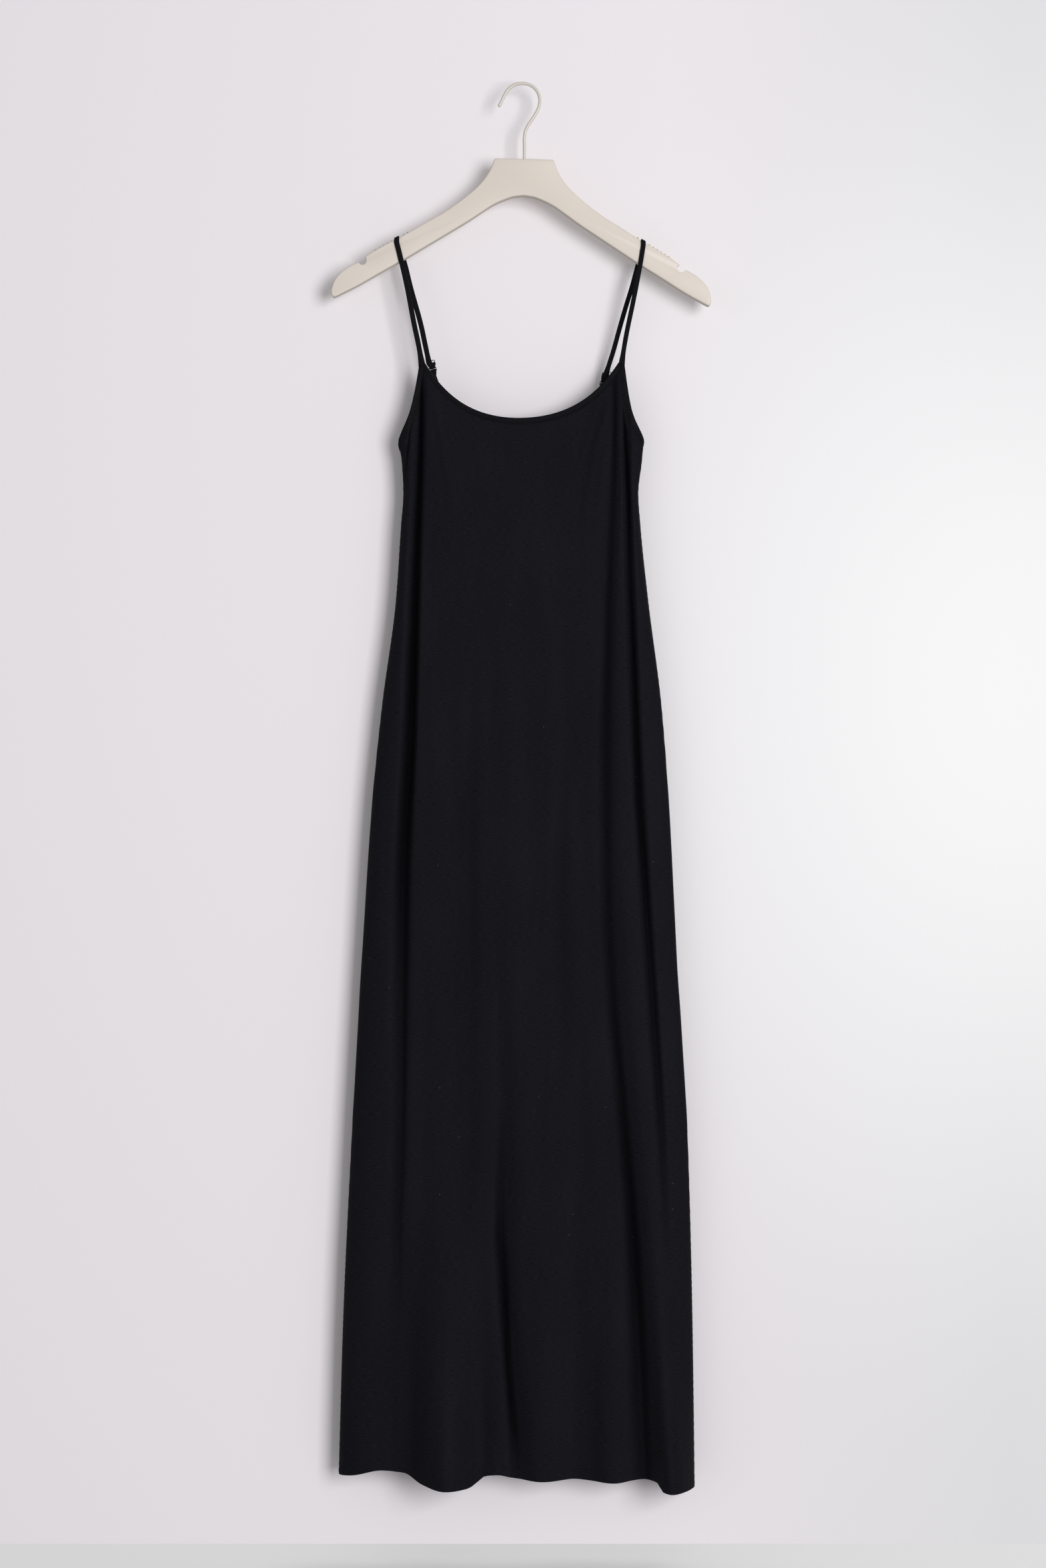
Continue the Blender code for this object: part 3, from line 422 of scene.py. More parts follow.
class Nodes(NodeTree):
    """A material's node tree and its Principled shader."""

    def __init__(self, name: str) -> None:
        """Start a material."""
        self.material = bpy.data.materials.new(name)
        self.material.use_nodes = True
        super().__init__(self.material.node_tree)
        self.shader = self.tree.nodes["Principled BSDF"]

    def math(self, operation: str, first: object, second: object = 0.0) -> Socket:
        """Combine two numbers."""
        node = self.add("ShaderNodeMath", {"operation": operation})
        self.feed(node.inputs[0], first)
        self.feed(node.inputs[1], second)
        return node.outputs[0]

    def scaled(self, source: Socket, scale: Triple) -> Socket:
        """Scale a place before a pattern reads it."""
        return self.add("ShaderNodeMapping", Vector=source, Scale=scale).outputs[0]

    def noise(self, place: Socket, scale: float, detail: float = 3.0,
              roughness: float = 0.5) -> Socket:
        """Read a soft noise between 0 and 1."""
        return self.add("ShaderNodeTexNoise", Vector=place, Scale=scale, Detail=detail,
                        Roughness=roughness).outputs["Fac"]

    def between(self, value: object, low: float, high: float) -> Socket:
        """Spread a number from 0 to 1 between two values."""
        return self.add("ShaderNodeMapRange", Value=value, To_Min=low, To_Max=high).outputs[0]

    def clear_of(self, value: object, low: float, high: float) -> Socket:
        """Spread the numbers between two values from 0 to 1."""
        return self.add("ShaderNodeMapRange", Value=value, From_Min=low, From_Max=high).outputs[0]

    def tint(self, share: object, first: object, second: object) -> Socket:
        """Mix two colours."""
        node = self.add("ShaderNodeMix", {"data_type": "RGBA"})
        self.feed(node.inputs["Factor"], share)
        self.feed(node.inputs[6], first)
        self.feed(node.inputs[7], second)
        return node.outputs[2]

    def bump(self, height: object, strength: float, distance: float,
             below: Socket | None = None) -> Socket:
        """Turn a height into a normal, over another bump if there is one."""
        node = self.add("ShaderNodeBump", Height=height, Strength=strength, Distance=distance)
        if below:
            self.tree.links.new(below, node.inputs["Normal"])
        return node.outputs[0]

    def dress(self, **inputs: object) -> Material:
        """Feed the shader's sockets and return the material."""
        for name, value in inputs.items():
            self.feed(self.shader.inputs[name.replace("_", " ")], value)
        return self.material


@dataclass(frozen=True)
class JerseyFinish:
    """Fine single jersey in near-black, with the yarn's streaks along its rows, a little lint, and painted
    shade that darkens it in its folds.
    """

    name: str = "black_jersey"
    colour: Colour = (0.0021, 0.0019, 0.0040, 1.0)
    pale: Colour = (0.0060, 0.0056, 0.0088, 1.0)
    # the colour that the painted shade in the folds darkens the cloth towards
    unlit: Colour = (0.0002, 0.0002, 0.0003, 1.0)
    lint: Colour = (0.07, 0.07, 0.08, 1.0)
    wale: float = 0.55
    streak_long: float = 5.5
    streak_high: float = 1.0
    sheen: float = 0.03
    specular: float = 0.10
    # how strongly the painted shade in the folds darkens the cloth and dims its gloss
    shade: float = 0.84

    def lint_on(self, nodes: Nodes, cloth: Socket) -> Socket:
        """Choose the few small specks of lint."""
        cells = nodes.add("ShaderNodeTexVoronoi", {"voronoi_dimensions": "2D"}, Vector=cloth, Scale=42.0)
        share = nodes.math("FRACT", nodes.math("MULTIPLY", cells.outputs["Color"], 7.31))
        chosen = nodes.math("GREATER_THAN", share, 0.972)
        near = nodes.math("LESS_THAN", cells.outputs["Distance"], 0.018)
        return nodes.math("MULTIPLY", chosen, near)

    def knit_on(self, nodes: Nodes, cloth: Socket) -> Socket:
        """The height of the knit's wales and rows."""
        place = nodes.add("ShaderNodeSeparateXYZ", Vector=cloth)
        turns = 2 * math.pi * 1000 / self.wale
        wales = nodes.math("SINE", nodes.math("MULTIPLY", place.outputs[0], turns))
        rows = nodes.math("SINE", nodes.math("MULTIPLY", place.outputs[1], turns * 1.25))
        return nodes.math("MULTIPLY", wales, rows)

    def material(self) -> Material:
        """Build the jersey on the cloth's own map.

        Returns:
            The material.
        """
        nodes = Nodes(self.name)
        cloth = nodes.add("ShaderNodeUVMap", {"uv_map": "cloth"}).outputs[0]
        along = nodes.scaled(cloth, (1000 / self.streak_long, 1000 / self.streak_high, 1))
        streaks = nodes.noise(along, 1.0, 3.0, 0.55)
        patches = nodes.noise(nodes.scaled(cloth, (14, 9, 1)), 1.0, 2.0)
        clusters = nodes.clear_of(nodes.noise(cloth, 95.0, 2.0), 0.38, 0.58)
        bands = nodes.noise(nodes.scaled(cloth, (85, 9, 1)), 1.0, 2.0)
        uneven = nodes.math("MULTIPLY", nodes.between(streaks, -2.3, 2.3), clusters)
        uneven = nodes.math("ADD", uneven, nodes.between(bands, 0.30, 0.60))
        colour = nodes.tint(uneven, self.colour, self.pale)
        colour = nodes.tint(self.lint_on(nodes, cloth), colour, self.lint)
        # painted shade: the per-vertex fold shade darkens the colour and dims the gloss in the folds
        painted_shade = nodes.add("ShaderNodeAttribute", {"attribute_name": PAINTED_SHADE}).outputs["Fac"]
        colour = nodes.tint(nodes.math("MULTIPLY", painted_shade, self.shade), colour, self.unlit)
        gloss = nodes.between(painted_shade, self.specular, self.specular * (1 - self.shade))
        slack = nodes.noise(nodes.scaled(cloth, (30, 7, 1)), 1.0, 3.0)
        normal = nodes.bump(slack, 0.07, 0.004)
        normal = nodes.bump(streaks, 0.18, 0.0004, normal)
        normal = nodes.bump(self.knit_on(nodes, cloth), 0.12, 0.0001, normal)
        return nodes.dress(Base_Color=colour, Roughness=nodes.between(patches, 0.66, 0.82), Normal=normal,
                           Specular_IOR_Level=gloss, Sheen_Weight=self.sheen, Sheen_Roughness=0.45,
                           Sheen_Tint=(0.75, 0.76, 0.82, 1.0))


@dataclass(frozen=True)
class BandFinish:
    """Jersey folded on itself into bindings and straps: the same cloth pulled smooth."""

    name: str = "black_binding"
    colour: Colour = (0.0018, 0.0018, 0.0031, 1.0)
    pale: Colour = (0.0046, 0.0046, 0.0062, 1.0)

    def material(self) -> Material:
        """Build the cloth on the band's own map, across and along.

        Returns:
            The material.
        """
        nodes = Nodes(self.name)
        cloth = nodes.add("ShaderNodeUVMap", {"uv_map": "cloth"}).outputs[0]
        grain = nodes.noise(nodes.scaled(cloth, (900, 250, 1)), 1.0, 3.0)
        ripple = nodes.noise(nodes.scaled(cloth, (120, 260, 1)), 1.0, 2.0)
        normal = nodes.bump(grain, 0.2, 0.0003, nodes.bump(ripple, 0.3, 0.0006))
        return nodes.dress(Base_Color=nodes.tint(grain, self.colour, self.pale), Normal=normal,
                           Roughness=nodes.between(ripple, 0.62, 0.78), Specular_IOR_Level=0.09,
                           Sheen_Weight=0.02, Sheen_Roughness=0.4, Sheen_Tint=(0.75, 0.76, 0.82, 1.0))


@dataclass(frozen=True)
class SolidFinish:
    """A painted, moulded or spun surface with a fine grain in its colour, gloss and relief."""

    name: str
    colour: Colour
    shade: Colour
    roughness: Pair
    grain: float
    relief: float
    specular: float = 0.5
    coat: float = 0.0

    def material(self) -> Material:
        """Build the surface on the object's own place.

        Returns:
            The material.
        """
        nodes = Nodes(self.name)
        place = nodes.add("ShaderNodeTexCoord").outputs["Object"]
        broad = nodes.noise(place, 22.0, 3.0)
        fine = nodes.noise(place, self.grain, 4.0, 0.6)
        return nodes.dress(Base_Color=nodes.tint(broad, self.colour, self.shade),
                           Roughness=nodes.between(fine, *self.roughness),
                           Normal=nodes.bump(fine, 0.4, self.relief * MM),
                           Specular_IOR_Level=self.specular, Coat_Weight=self.coat, Coat_Roughness=0.2)


@dataclass(frozen=True)
class WallFinish:
    """A pale painted surface that only the camera sees, and only from the room's side, with a painted pool of
    light and painted shade towards its right.
    """

    name: str
    colour: Colour
    far: Colour
    painted_light: Colour
    # where its colour turns to the far one, darker and less pink as painted shade, across in metres
    turns: Pair = (0.16, 0.54)
    # middle and reach, across and up in metres, of the painted pool of light on it
    middle: Pair = (0.500, -0.680)
    reach: Pair = (0.620, 0.860)

    def material(self) -> Material:
        """Build the surface.

        Returns:
            The material, clear to other light and from behind.
        """
        nodes = Nodes(self.name)
        place = nodes.add("ShaderNodeTexCoord").outputs["Object"]
        grain = nodes.noise(place, 90.0, 3.0)
        scale = (1 / self.reach[0], 0.0, 1 / self.reach[1])
        spot = nodes.add("ShaderNodeMapping", Vector=place, Scale=scale,
                         Location=(-self.middle[0] * scale[0], 0.0, -self.middle[1] * scale[2]))
        near = nodes.add("ShaderNodeTexGradient", {"gradient_type": "SPHERICAL"}, Vector=spot.outputs[0])
        # painted light: a soft pool where the colour brightens, and on the right a darker colour as painted
        # shade
        lit = nodes.add("ShaderNodeMapRange", {"interpolation_type": "SMOOTHSTEP"}, Value=near.outputs["Fac"])
        across = nodes.add("ShaderNodeSeparateXYZ", Vector=place).outputs[0]
        base = nodes.tint(nodes.clear_of(across, *self.turns), self.colour, self.far)
        nodes.dress(Base_Color=nodes.tint(lit.outputs[0], base, self.painted_light), Roughness=0.9,
                    Specular_IOR_Level=0.1, Normal=nodes.bump(grain, 0.05, 0.002))
        path = nodes.add("ShaderNodeLightPath")
        face = nodes.add("ShaderNodeNewGeometry")
        shown = nodes.math("MULTIPLY", path.outputs["Is Camera Ray"],
                           nodes.math("SUBTRACT", 1.0, face.outputs["Backfacing"]))
        clear = nodes.add("ShaderNodeBsdfTransparent")
        mix = nodes.add("ShaderNodeMixShader")
        nodes.feed(mix.inputs[0], shown)
        nodes.feed(mix.inputs[1], clear.outputs[0])
        nodes.feed(mix.inputs[2], nodes.shader.outputs[0])
        output = nodes.tree.nodes["Material Output"]
        nodes.feed(output.inputs["Surface"], mix.outputs[0])
        return nodes.material


CREAM_PAINT = SolidFinish("cream_paint", (0.700, 0.630, 0.568, 1), (0.668, 0.598, 0.534, 1),
                          roughness=(0.40, 0.52), grain=700, relief=0.02)
CREAM_WIRE = SolidFinish("cream_wire", (0.660, 0.610, 0.560, 1), (0.620, 0.570, 0.516, 1),
                         roughness=(0.30, 0.42), grain=900, relief=0.01)
GRIP_RUBBER = SolidFinish("grip_rubber", (0.310, 0.272, 0.256, 1), (0.260, 0.228, 0.214, 1),
                          roughness=(0.60, 0.75), grain=1500, relief=0.03)
BLACK_PLASTIC = SolidFinish("black_plastic", (0.006, 0.006, 0.007, 1), (0.009, 0.009, 0.010, 1),
                            roughness=(0.16, 0.26), grain=1200, relief=0.004, specular=0.55, coat=0.4)
BLACK_THREAD = SolidFinish("black_thread", (0.0035, 0.0035, 0.0052, 1), (0.007, 0.007, 0.009, 1),
                           roughness=(0.55, 0.7), grain=2500, relief=0.02, specular=0.14)


# -------- the form of the dress

class Section(NamedTuple):
    """The flattened tube of the dress at one height."""

    height: float
    left: float
    right: float
    front: float
    back: float
    roll: float


@dataclass(frozen=True)
class Fold:
    """A soft ridge, or a trough where it is negative, that runs down a panel."""

    name: str
    heights: tuple[float, ...]
    across: tuple[float, ...]
    forward: tuple[float, ...]
    left: float
    right: float

    def push(self, across: Array, height: Array) -> Array:
        """How far it pushes the cloth outwards at places across and up."""
        offset = across - smooth(self.heights, self.across, height)
        near = np.clip(np.abs(offset) / np.where(offset < 0, self.left, self.right), 0, 1)
        return smooth(self.heights, self.forward, height) * 0.5 * (1 + np.cos(math.pi * near))


@dataclass(frozen=True)
class PaintedShade:
    """A band of painted shade along the heart of a trough, which little light reaches.

    Its rows are height, place across, reach to the left and right, and the painted shade's strength from 0 to
    1.
    """

    name: str
    rows: Table

    def share(self, across: Array, height: Array) -> Array:
        """How strongly its painted shade darkens places across and up, from 0 to 1."""
        heights, middle, left, right, depth = columns_of(self.rows[::-1])
        offset = across - np.interp(height, heights, middle)
        reach = np.where(offset < 0, np.interp(height, heights, left), np.interp(height, heights, right))
        out = np.clip((np.abs(offset) / reach - 0.25) / 0.95, 0, 1)
        return np.interp(height, heights, depth) * (1 - out * out * (3 - 2 * out))


LEVELS = (-318, -347, -421, -538, -715, -862, -1009, -1156, -1266, -1376, -1464, -1545)
# the top of the sections, above which the tube keeps its width, and a first height for the hem
TUBE_TOP = -391.0
HEM_START = -1530.0
# where each strap crosses the hanger's upper edge
STRAP_TOPS = {Seam.LEFT: -138.5, Seam.RIGHT: 132.7}


def steady(value: float) -> tuple[float, ...]:
    """The same value at every level."""
    return (value,) * len(LEVELS)


@dataclass
class DressForm:
    """Where the middle of the cloth lies, and its edges."""

    sections: tuple[Section, ...] = (
        Section(-391, -137.5, 133, 8.5, 8.5, 19), Section(-414, -132.8, 131, 9, 9, 18),
        Section(-450, -131, 127, 10, 9.5, 18), Section(-485, -133.5, 129.3, 11, 10, 19),
        Section(-568, -139.2, 137.9, 12, 11, 20), Section(-685, -154.6, 152.6, 13, 12, 23),
        Section(-803, -166.4, 161.4, 14, 13, 26), Section(-950, -176, 168.8, 15, 13.5, 30),
        Section(-1156, -187.7, 181.2, 16.5, 14.5, 34), Section(-1361, -197.3, 186.6, 18, 15, 37),
        Section(-1545, -202.5, 189, 19, 16, 40),
    )
    front_folds: tuple[Fold, ...] = (
        Fold("left strap crease", LEVELS,
             (-110.9, -110.7, -112, -115.9, -120.8, -128.8, -131.3, -132.9, -136.6, -138, -139, -139.2),
             (-1, -4, -6.5, -7.5, -7.5, -6, -4, -2.4, -1, 0, 0, 0), 16, 6),
        Fold("left hem bulge", LEVELS, (-80, -80, -82, -84, -86, -87, -88, -88, -87, -86, -85, -83),
             (0, 0, 0, 0, 0, 0, 0.5, 1.5, 4, 10, 19, 27), 46, 44),
        Fold("lower middle groove", LEVELS,
             (-30, -30, -30, -29, -29, -28, -26, -23.7, -23.9, -17.5, -10.5, -7),
             (0, 0, 0, 0, 0, 0, -0.6, -3, -6, -8, -7.5, -3.5), 10, 20),
        Fold("right ridge", LEVELS,
             (107, 107.5, 107.8, 108, 108, 111, 120, 133.5, 142.5, 151, 158, 164),
             (0.3, 1, 3, 5, 5.5, 5, 5, 7, 9, 13, 18, 24), 25, 40),
        Fold("beside the right ridge", LEVELS,
             (101.5, 102.1, 101.4, 96.6, 91.9, 92.6, 98.5, 112.4, 121.5, 128, 131.5, 135),
             (-0.4, -1.6, -2.2, -2.4, -2.4, -2.2, -2.6, -3.6, -4.6, -5, -5, -4.5), 15, 9),
        Fold("right strap groove", LEVELS,
             (113.5, 113, 114.6, 117.5, 124.1, 132.8, 142.7, 152.2, 158, 165, 171, 176),
             (0, -0.9, -6.5, -7.5, -7, -6, -4.5, -2.6, -0.8, 0, 0, 0), 8, 8),
        Fold("left faint trough", LEVELS, steady(-57),
             (0, 0, 0, 0, -0.8, -1.4, -1.6, -1.2, 0, 0, 0, 0), 14, 14),
        Fold("right faint trough", LEVELS, steady(42),
             (0, 0, 0, 0, -0.8, -1.6, -1.4, 0, 0, 0, 0, 0), 14, 14),
        Fold("hem wave, middle", LEVELS, steady(22),
             (0, 0, 0, 0, 0, 0, 0, 0, 0.5, 2, 3.5, 5), 26, 30),
        Fold("hem wave, right", LEVELS, steady(98),
             (0, 0, 0, 0, 0, 0, 0, 0, 0.5, 2, 3.5, 5), 26, 26),
        Fold("pull from the right strap", (-338, -372, -420, -475), (101, 88, 74, 62), (0, 0.9, 0.8, 0), 6,
             7),
        Fold("second pull from the right strap", (-345, -395, -450, -520), (103, 93, 84, 77),
             (0, 1, 0.8, 0), 5, 6),
        Fold("pull from the left strap", (-335, -370, -420, -480), (-101, -93, -84, -77), (0, 0.8, 0.6, 0),
             7, 6),
        Fold("left underarm tuck", (-357, -402, -436, -470), (-120, -125, -129, -130), (0, -1.4, -1.2, 0),
             4, 4),
        Fold("right underarm tuck", (-360, -400, -440, -480), (121, 123, 122, 123), (0, -1.2, -1, 0), 4, 4),
        Fold("upper middle drift", (-420, -600, -850, -1100, -1300), (-22, -18, -12, -4, 4),
             (0, 0.9, 1.2, 0.9, 0), 22, 26),
        Fold("lower left drift", (-900, -1100, -1300, -1480), (-118, -122, -128, -134), (0, 1.2, 1.8, 1),
             20, 16),
        Fold("lower right drift", (-950, -1150, -1330, -1500), (66, 62, 58, 57), (0, -1, -1.6, -2.2), 18, 16),
    )
    back_folds: tuple[Fold, ...] = (
        Fold("left strap crease", LEVELS, (-99, -101, -105, -110, -117, -122, -126, -131, -135, -138, -140,
                                           -141),
             (0, -0.5, -4, -4.5, -3.5, -2.5, -1.5, -0.5, 0, 0, 0, 0), 14, 7),
        Fold("left hem wave", LEVELS, (-62, -62, -62, -62, -63, -64, -65, -66, -67, -68, -69, -70),
             (0, 0, 0, 0, 0, 0.5, 1, 2, 3.5, 5, 6, 7), 40, 36),
        Fold("middle groove", LEVELS, (-8, -8, -8, -8, -8, -6, -3, 0, 3, 6, 8, 9),
             (0, 0, 0, 0, -0.5, -1.5, -2.5, -3, -3.5, -4, -4, -3.5), 12, 22),
        Fold("right hem wave", LEVELS, (60, 60, 60, 60, 62, 65, 70, 76, 81, 85, 88, 90),
             (0, 0, 0, 0, 0.5, 1, 1.5, 2.5, 4, 5.5, 6.5, 7.5), 34, 34),
        Fold("right strap crease", LEVELS, (89, 92, 97, 103, 112, 118, 125, 133, 139, 144, 147, 149),
             (0, -0.2, -4, -4.5, -3.5, -2.5, -1.5, -0.5, 0, 0, 0, 0), 7, 14),
        Fold("pull from the left tab", (-345, -400, -470, -560), (-92, -80, -68, -58), (0, 1, 0.8, 0), 8, 9),
        Fold("pull from the right tab", (-352, -410, -480, -570), (84, 70, 56, 46), (0, 1, 0.8, 0), 9, 8),
        Fold("lower left groove", (-950, -1150, -1330, -1500), (-108, -112, -116, -119),
             (0, -1.4, -2.2, -2.6), 14, 18),
        Fold("lower right groove", (-1000, -1180, -1340, -1500), (38, 36, 33, 31), (0, -1.2, -2, -2.4), 16,
             14),
    )
    # bands of painted shade, darkening the front's cloth along its troughs
    front_painted_shades: tuple[PaintedShade, ...] = (
        PaintedShade("left strap crease", (
            (-308, -111.5, 1.5, 1.5, 0.3), (-318, -110.9, 2.6, 2.2, 0.9), (-347, -110.7, 4.2, 3, 1),
            (-421, -112, 6.5, 4.2, 1), (-538, -115.9, 8.5, 5.2, 1), (-715, -120.8, 12.5, 6.2, 0.95),
            (-789, -125, 13, 8, 0.92), (-862, -128.8, 13.5, 9.5, 0.82), (-1009, -131.3, 13, 11, 0.50),
            (-1156, -132.9, 11, 9, 0.38), (-1266, -136.6, 9, 7, 0.18), (-1376, -138, 8, 7, 0))),
        PaintedShade("right strap groove", (
            (-356, 110, 1.2, 1.4, 0.2), (-365, 110.9, 1.6, 2, 0.7), (-380, 112.4, 2.8, 3.2, 1),
            (-421, 114.6, 3.8, 4, 1), (-466, 116.4, 4, 4.2, 0.95), (-538, 117.3, 3.4, 3.4, 0.75),
            (-620, 121.1, 4.4, 4.6, 0.78), (-715, 124.1, 5, 5.4, 0.85), (-789, 127, 5.2, 5.6, 0.85),
            (-862, 132.8, 5.5, 6, 0.75), (-936, 137.6, 6, 6.5, 0.65), (-1009, 142.7, 6.5, 6.5, 0.62),
            (-1083, 147.5, 6.5, 6.5, 0.60), (-1156, 152.2, 6, 6, 0.50), (-1230, 156.2, 5, 5, 0.28),
            (-1300, 158, 4.5, 4.5, 0))),
        PaintedShade("beside the right ridge", (
            (-314, 104.7, 2, 2, 0.1), (-330, 102.1, 4.5, 3, 0.60), (-375, 102.1, 5, 3.5, 0.70),
            (-421, 101.4, 6, 3.6, 0.60), (-466, 99.2, 6, 4, 0.55), (-538, 96.6, 6.5, 4, 0.50),
            (-620, 94.4, 7.5, 4.2, 0.50), (-715, 91.9, 9.5, 5, 0.48), (-862, 92.6, 9, 5.5, 0.42),
            (-936, 94.1, 9, 6, 0.48), (-1009, 98.5, 8.5, 6.5, 0.50), (-1083, 105.8, 8.5, 6.5, 0.60),
            (-1156, 112.4, 9, 6.5, 0.68), (-1230, 118.9, 10, 8, 0.74), (-1300, 124, 12, 9, 0.72),
            (-1376, 128.5, 15, 10, 0.60), (-1448, 130.6, 16, 10, 0.52), (-1510, 133.6, 15, 10, 0.46),
            (-1545, 135, 14, 10, 0.42))),
        PaintedShade("lower middle groove", (
            (-1120, -23, 4, 4, 0), (-1156, -23.7, 5, 5, 0.25), (-1230, -24.1, 6.5, 6.5, 0.45),
            (-1266, -24.1, 7.5, 7.5, 0.68), (-1300, -21.1, 7.5, 7.5, 0.80),
            (-1340, -18.9, 6.5, 6.5, 0.88), (-1376, -17.5, 5.8, 5.8, 0.90),
            (-1412, -15.3, 5.8, 5.8, 0.88), (-1448, -12, 6.2, 6.2, 0.85),
            (-1480, -9.1, 6.5, 6.5, 0.75), (-1505, -7.6, 6.5, 6.5, 0.45), (-1530, -7, 6, 6, 0.2))),
        PaintedShade("left faint trough", (
            (-700, -62.5, 14, 14, 0), (-789, -61, 14, 14, 0.15), (-1000, -60.5, 14, 14, 0.18),
            (-1230, -60.5, 12, 12, 0.14), (-1330, -60, 12, 12, 0))),
        PaintedShade("right faint trough", (
            (-789, 41.4, 9, 9, 0), (-862, 41.4, 10, 10, 0.13), (-960, 41.4, 9, 9, 0.12),
            (-1060, 41, 9, 9, 0))),
        PaintedShade("left of the hem bulge", (
            (-1230, -118, 22, 22, 0), (-1376, -118, 24, 22, 0.13), (-1480, -122, 24, 22, 0.16),
            (-1545, -124, 22, 20, 0.22))),
        PaintedShade("right of the hem bulge", (
            (-1400, -40, 8, 8, 0), (-1464, -37, 10, 9, 0.22), (-1545, -38, 10, 8, 0.28))),
        PaintedShade("lower right drift", (
            (-1340, 78, 12, 12, 0), (-1412, 79, 13, 13, 0.15), (-1545, 80, 13, 13, 0.20))),
        PaintedShade("left underarm tuck", (
            (-365, -119.9, 1, 1.2, 0.3), (-386, -124.3, 1.4, 1.6, 0.85),
            (-403, -126.3, 1.6, 1.8, 0.90), (-425, -128.1, 1.2, 1.2, 0.5), (-440, -129.5, 1, 1, 0))),
        PaintedShade("pull from the right strap", (
            (-338, 93, 3, 3, 0), (-352, 90.1, 3, 3, 0.22), (-403, 77.2, 4, 4, 0.25),
            (-451, 69.2, 4.5, 4.5, 0.18), (-500, 62, 5, 5, 0))),
        PaintedShade("second pull", (
            (-340, 83, 3, 3, 0), (-352, 80, 3, 3, 0.10), (-400, 65, 4, 4, 0.12), (-440, 60, 4, 4, 0))),
    )
    # uneven sway between the folds: depth, the lengths of its waves across and up, and a shift
    sway: Table = (
        (0.25, 71, 610, 0.4), (0.14, 43, 390, 2.1), (0.06, 27, 260, 4), (0.30, 118, 240, 1.2),
    )
    neck_middle: dict[Side, float] = field(default_factory=lambda: {Side.FRONT: -4.5, Side.BACK: -5.0})
    neck_lowest: dict[Side, float] = field(default_factory=lambda: {Side.FRONT: -367.5, Side.BACK: -400.0})
    neck_round: dict[Side, float] = field(default_factory=lambda: {Side.FRONT: 0.617, Side.BACK: 0.40})
    # half the neck's width and its rise, left then right
    neck_reach: dict[Side, Table] = field(default_factory=lambda: {
        Side.FRONT: ((102.5, 60), (109.8, 60.8)), Side.BACK: ((90, 80.5), (89.3, 65))})
    # round the tube from the side seam, back negative and front positive, and the finished edge's height
    armholes: dict[Seam, Table] = field(default_factory=lambda: {
        Seam.LEFT: ((-38.9, -319.5), (-36.5, -336), (-31.5, -355), (-24, -372), (-15, -386.5),
                    (-8, -394.4), (-3, -397), (0, -396.6), (3, -394.2), (6.5, -388.8), (10, -381.8),
                    (14, -373), (17.3, -363), (19.8, -352), (22, -339), (24.5, -325.1),
                    (26.7, -311.9)),
        Seam.RIGHT: ((-44.9, -335.5), (-41.5, -349), (-35, -363), (-26, -376), (-16, -386),
                     (-8, -391), (-3, -392.2), (0, -391.4), (3, -389.2), (6.5, -384.9),
                     (11.7, -376.3), (15, -368.6), (17.6, -359.5), (19.6, -347.5), (21.3, -334),
                     (22.7, -321.5), (24.2, -310.4))})
    # place across and height of each hem
    hems: dict[Side, Table] = field(default_factory=lambda: {
        Side.FRONT: ((-203, -1529.5), (-188, -1528), (-155, -1521.6), (-130, -1524), (-111, -1534.5),
                     (-84, -1539), (-60, -1538.6), (-49, -1533), (-41, -1527.6), (-27, -1526.8),
                     (-6, -1531.2), (21, -1533.4), (57, -1531), (101, -1535), (127, -1531.8),
                     (143, -1532.6), (148, -1534.2), (153, -1542), (167, -1543.5), (180, -1543.6),
                     (190, -1543)),
        Side.BACK: ((-203, -1529.5), (-180, -1525), (-135, -1523), (-70, -1528), (9, -1524),
                    (90, -1529), (140, -1527), (175, -1535), (190, -1543))})
    binding_width: float = 6.0
    edge_samples: int = 481
    tip_samples: int = 4000

    def folds(self, side: Side) -> tuple[Fold, ...]:
        """The folds of a panel."""
        return self.front_folds if side is Side.FRONT else self.back_folds

    def section_at(self, side: Side, height: Array) -> tuple[Array, ...]:
        """Read the tube at a height.

        Args:
            side: The panel.
            height: Heights.

        Returns:
            Left edge, right edge, depth, roll, length round a roll, and the panel's whole width.
        """
        heights, *table = columns_of(self.sections)
        left, right, front, back, roll = (smooth(heights, column, height) for column in table)
        depth = front if side is Side.FRONT else back
        squash = ((roll - depth) / (roll + depth)) ** 2
        length = math.pi / 4 * (roll + depth) * (1 + 3 * squash / (10 + np.sqrt(4 - 3 * squash)))
        return left, right, depth, roll, length, right - left - 2 * roll + 2 * length

    def whole(self, side: Side, height: Array | float) -> Array:
        """A panel's whole width round the tube."""
        return self.section_at(side, np.asarray(height, float))[5]

    def to_girth(self, side: Side, across: Array, height: Array) -> Array:
        """The distance round a panel from its left seam to a place across."""
        left, right, _, roll, length, _ = self.section_at(side, height)
        from_left = np.arccos(1 - np.clip(across - left, 0, roll) / roll) / QUARTER * length
        from_right = np.arccos(1 - np.clip(right - across, 0, roll) / roll) / QUARTER * length
        return from_left + np.clip(across - left - roll, 0, right - left - 2 * roll) + length - from_right

    def push(self, side: Side, across: Array, height: Array) -> Array:
        """Find how far folds and sway push a panel outwards.

        Args:
            side: The panel.
            across: Places across.
            height: Heights.

        Returns:
            The distance for each.
        """
        pushed = sum(fold.push(across, height) for fold in self.folds(side))
        calm = np.clip((-395 - height) / 90, 0, 1)
        turn = 1.0 if side is Side.FRONT else 2.3
        for depth, wave, rise, shift in self.sway:
            phase = 2 * math.pi * (across / wave + height / rise) + shift * turn
            pushed = pushed + calm * depth * np.sin(phase)
        return pushed

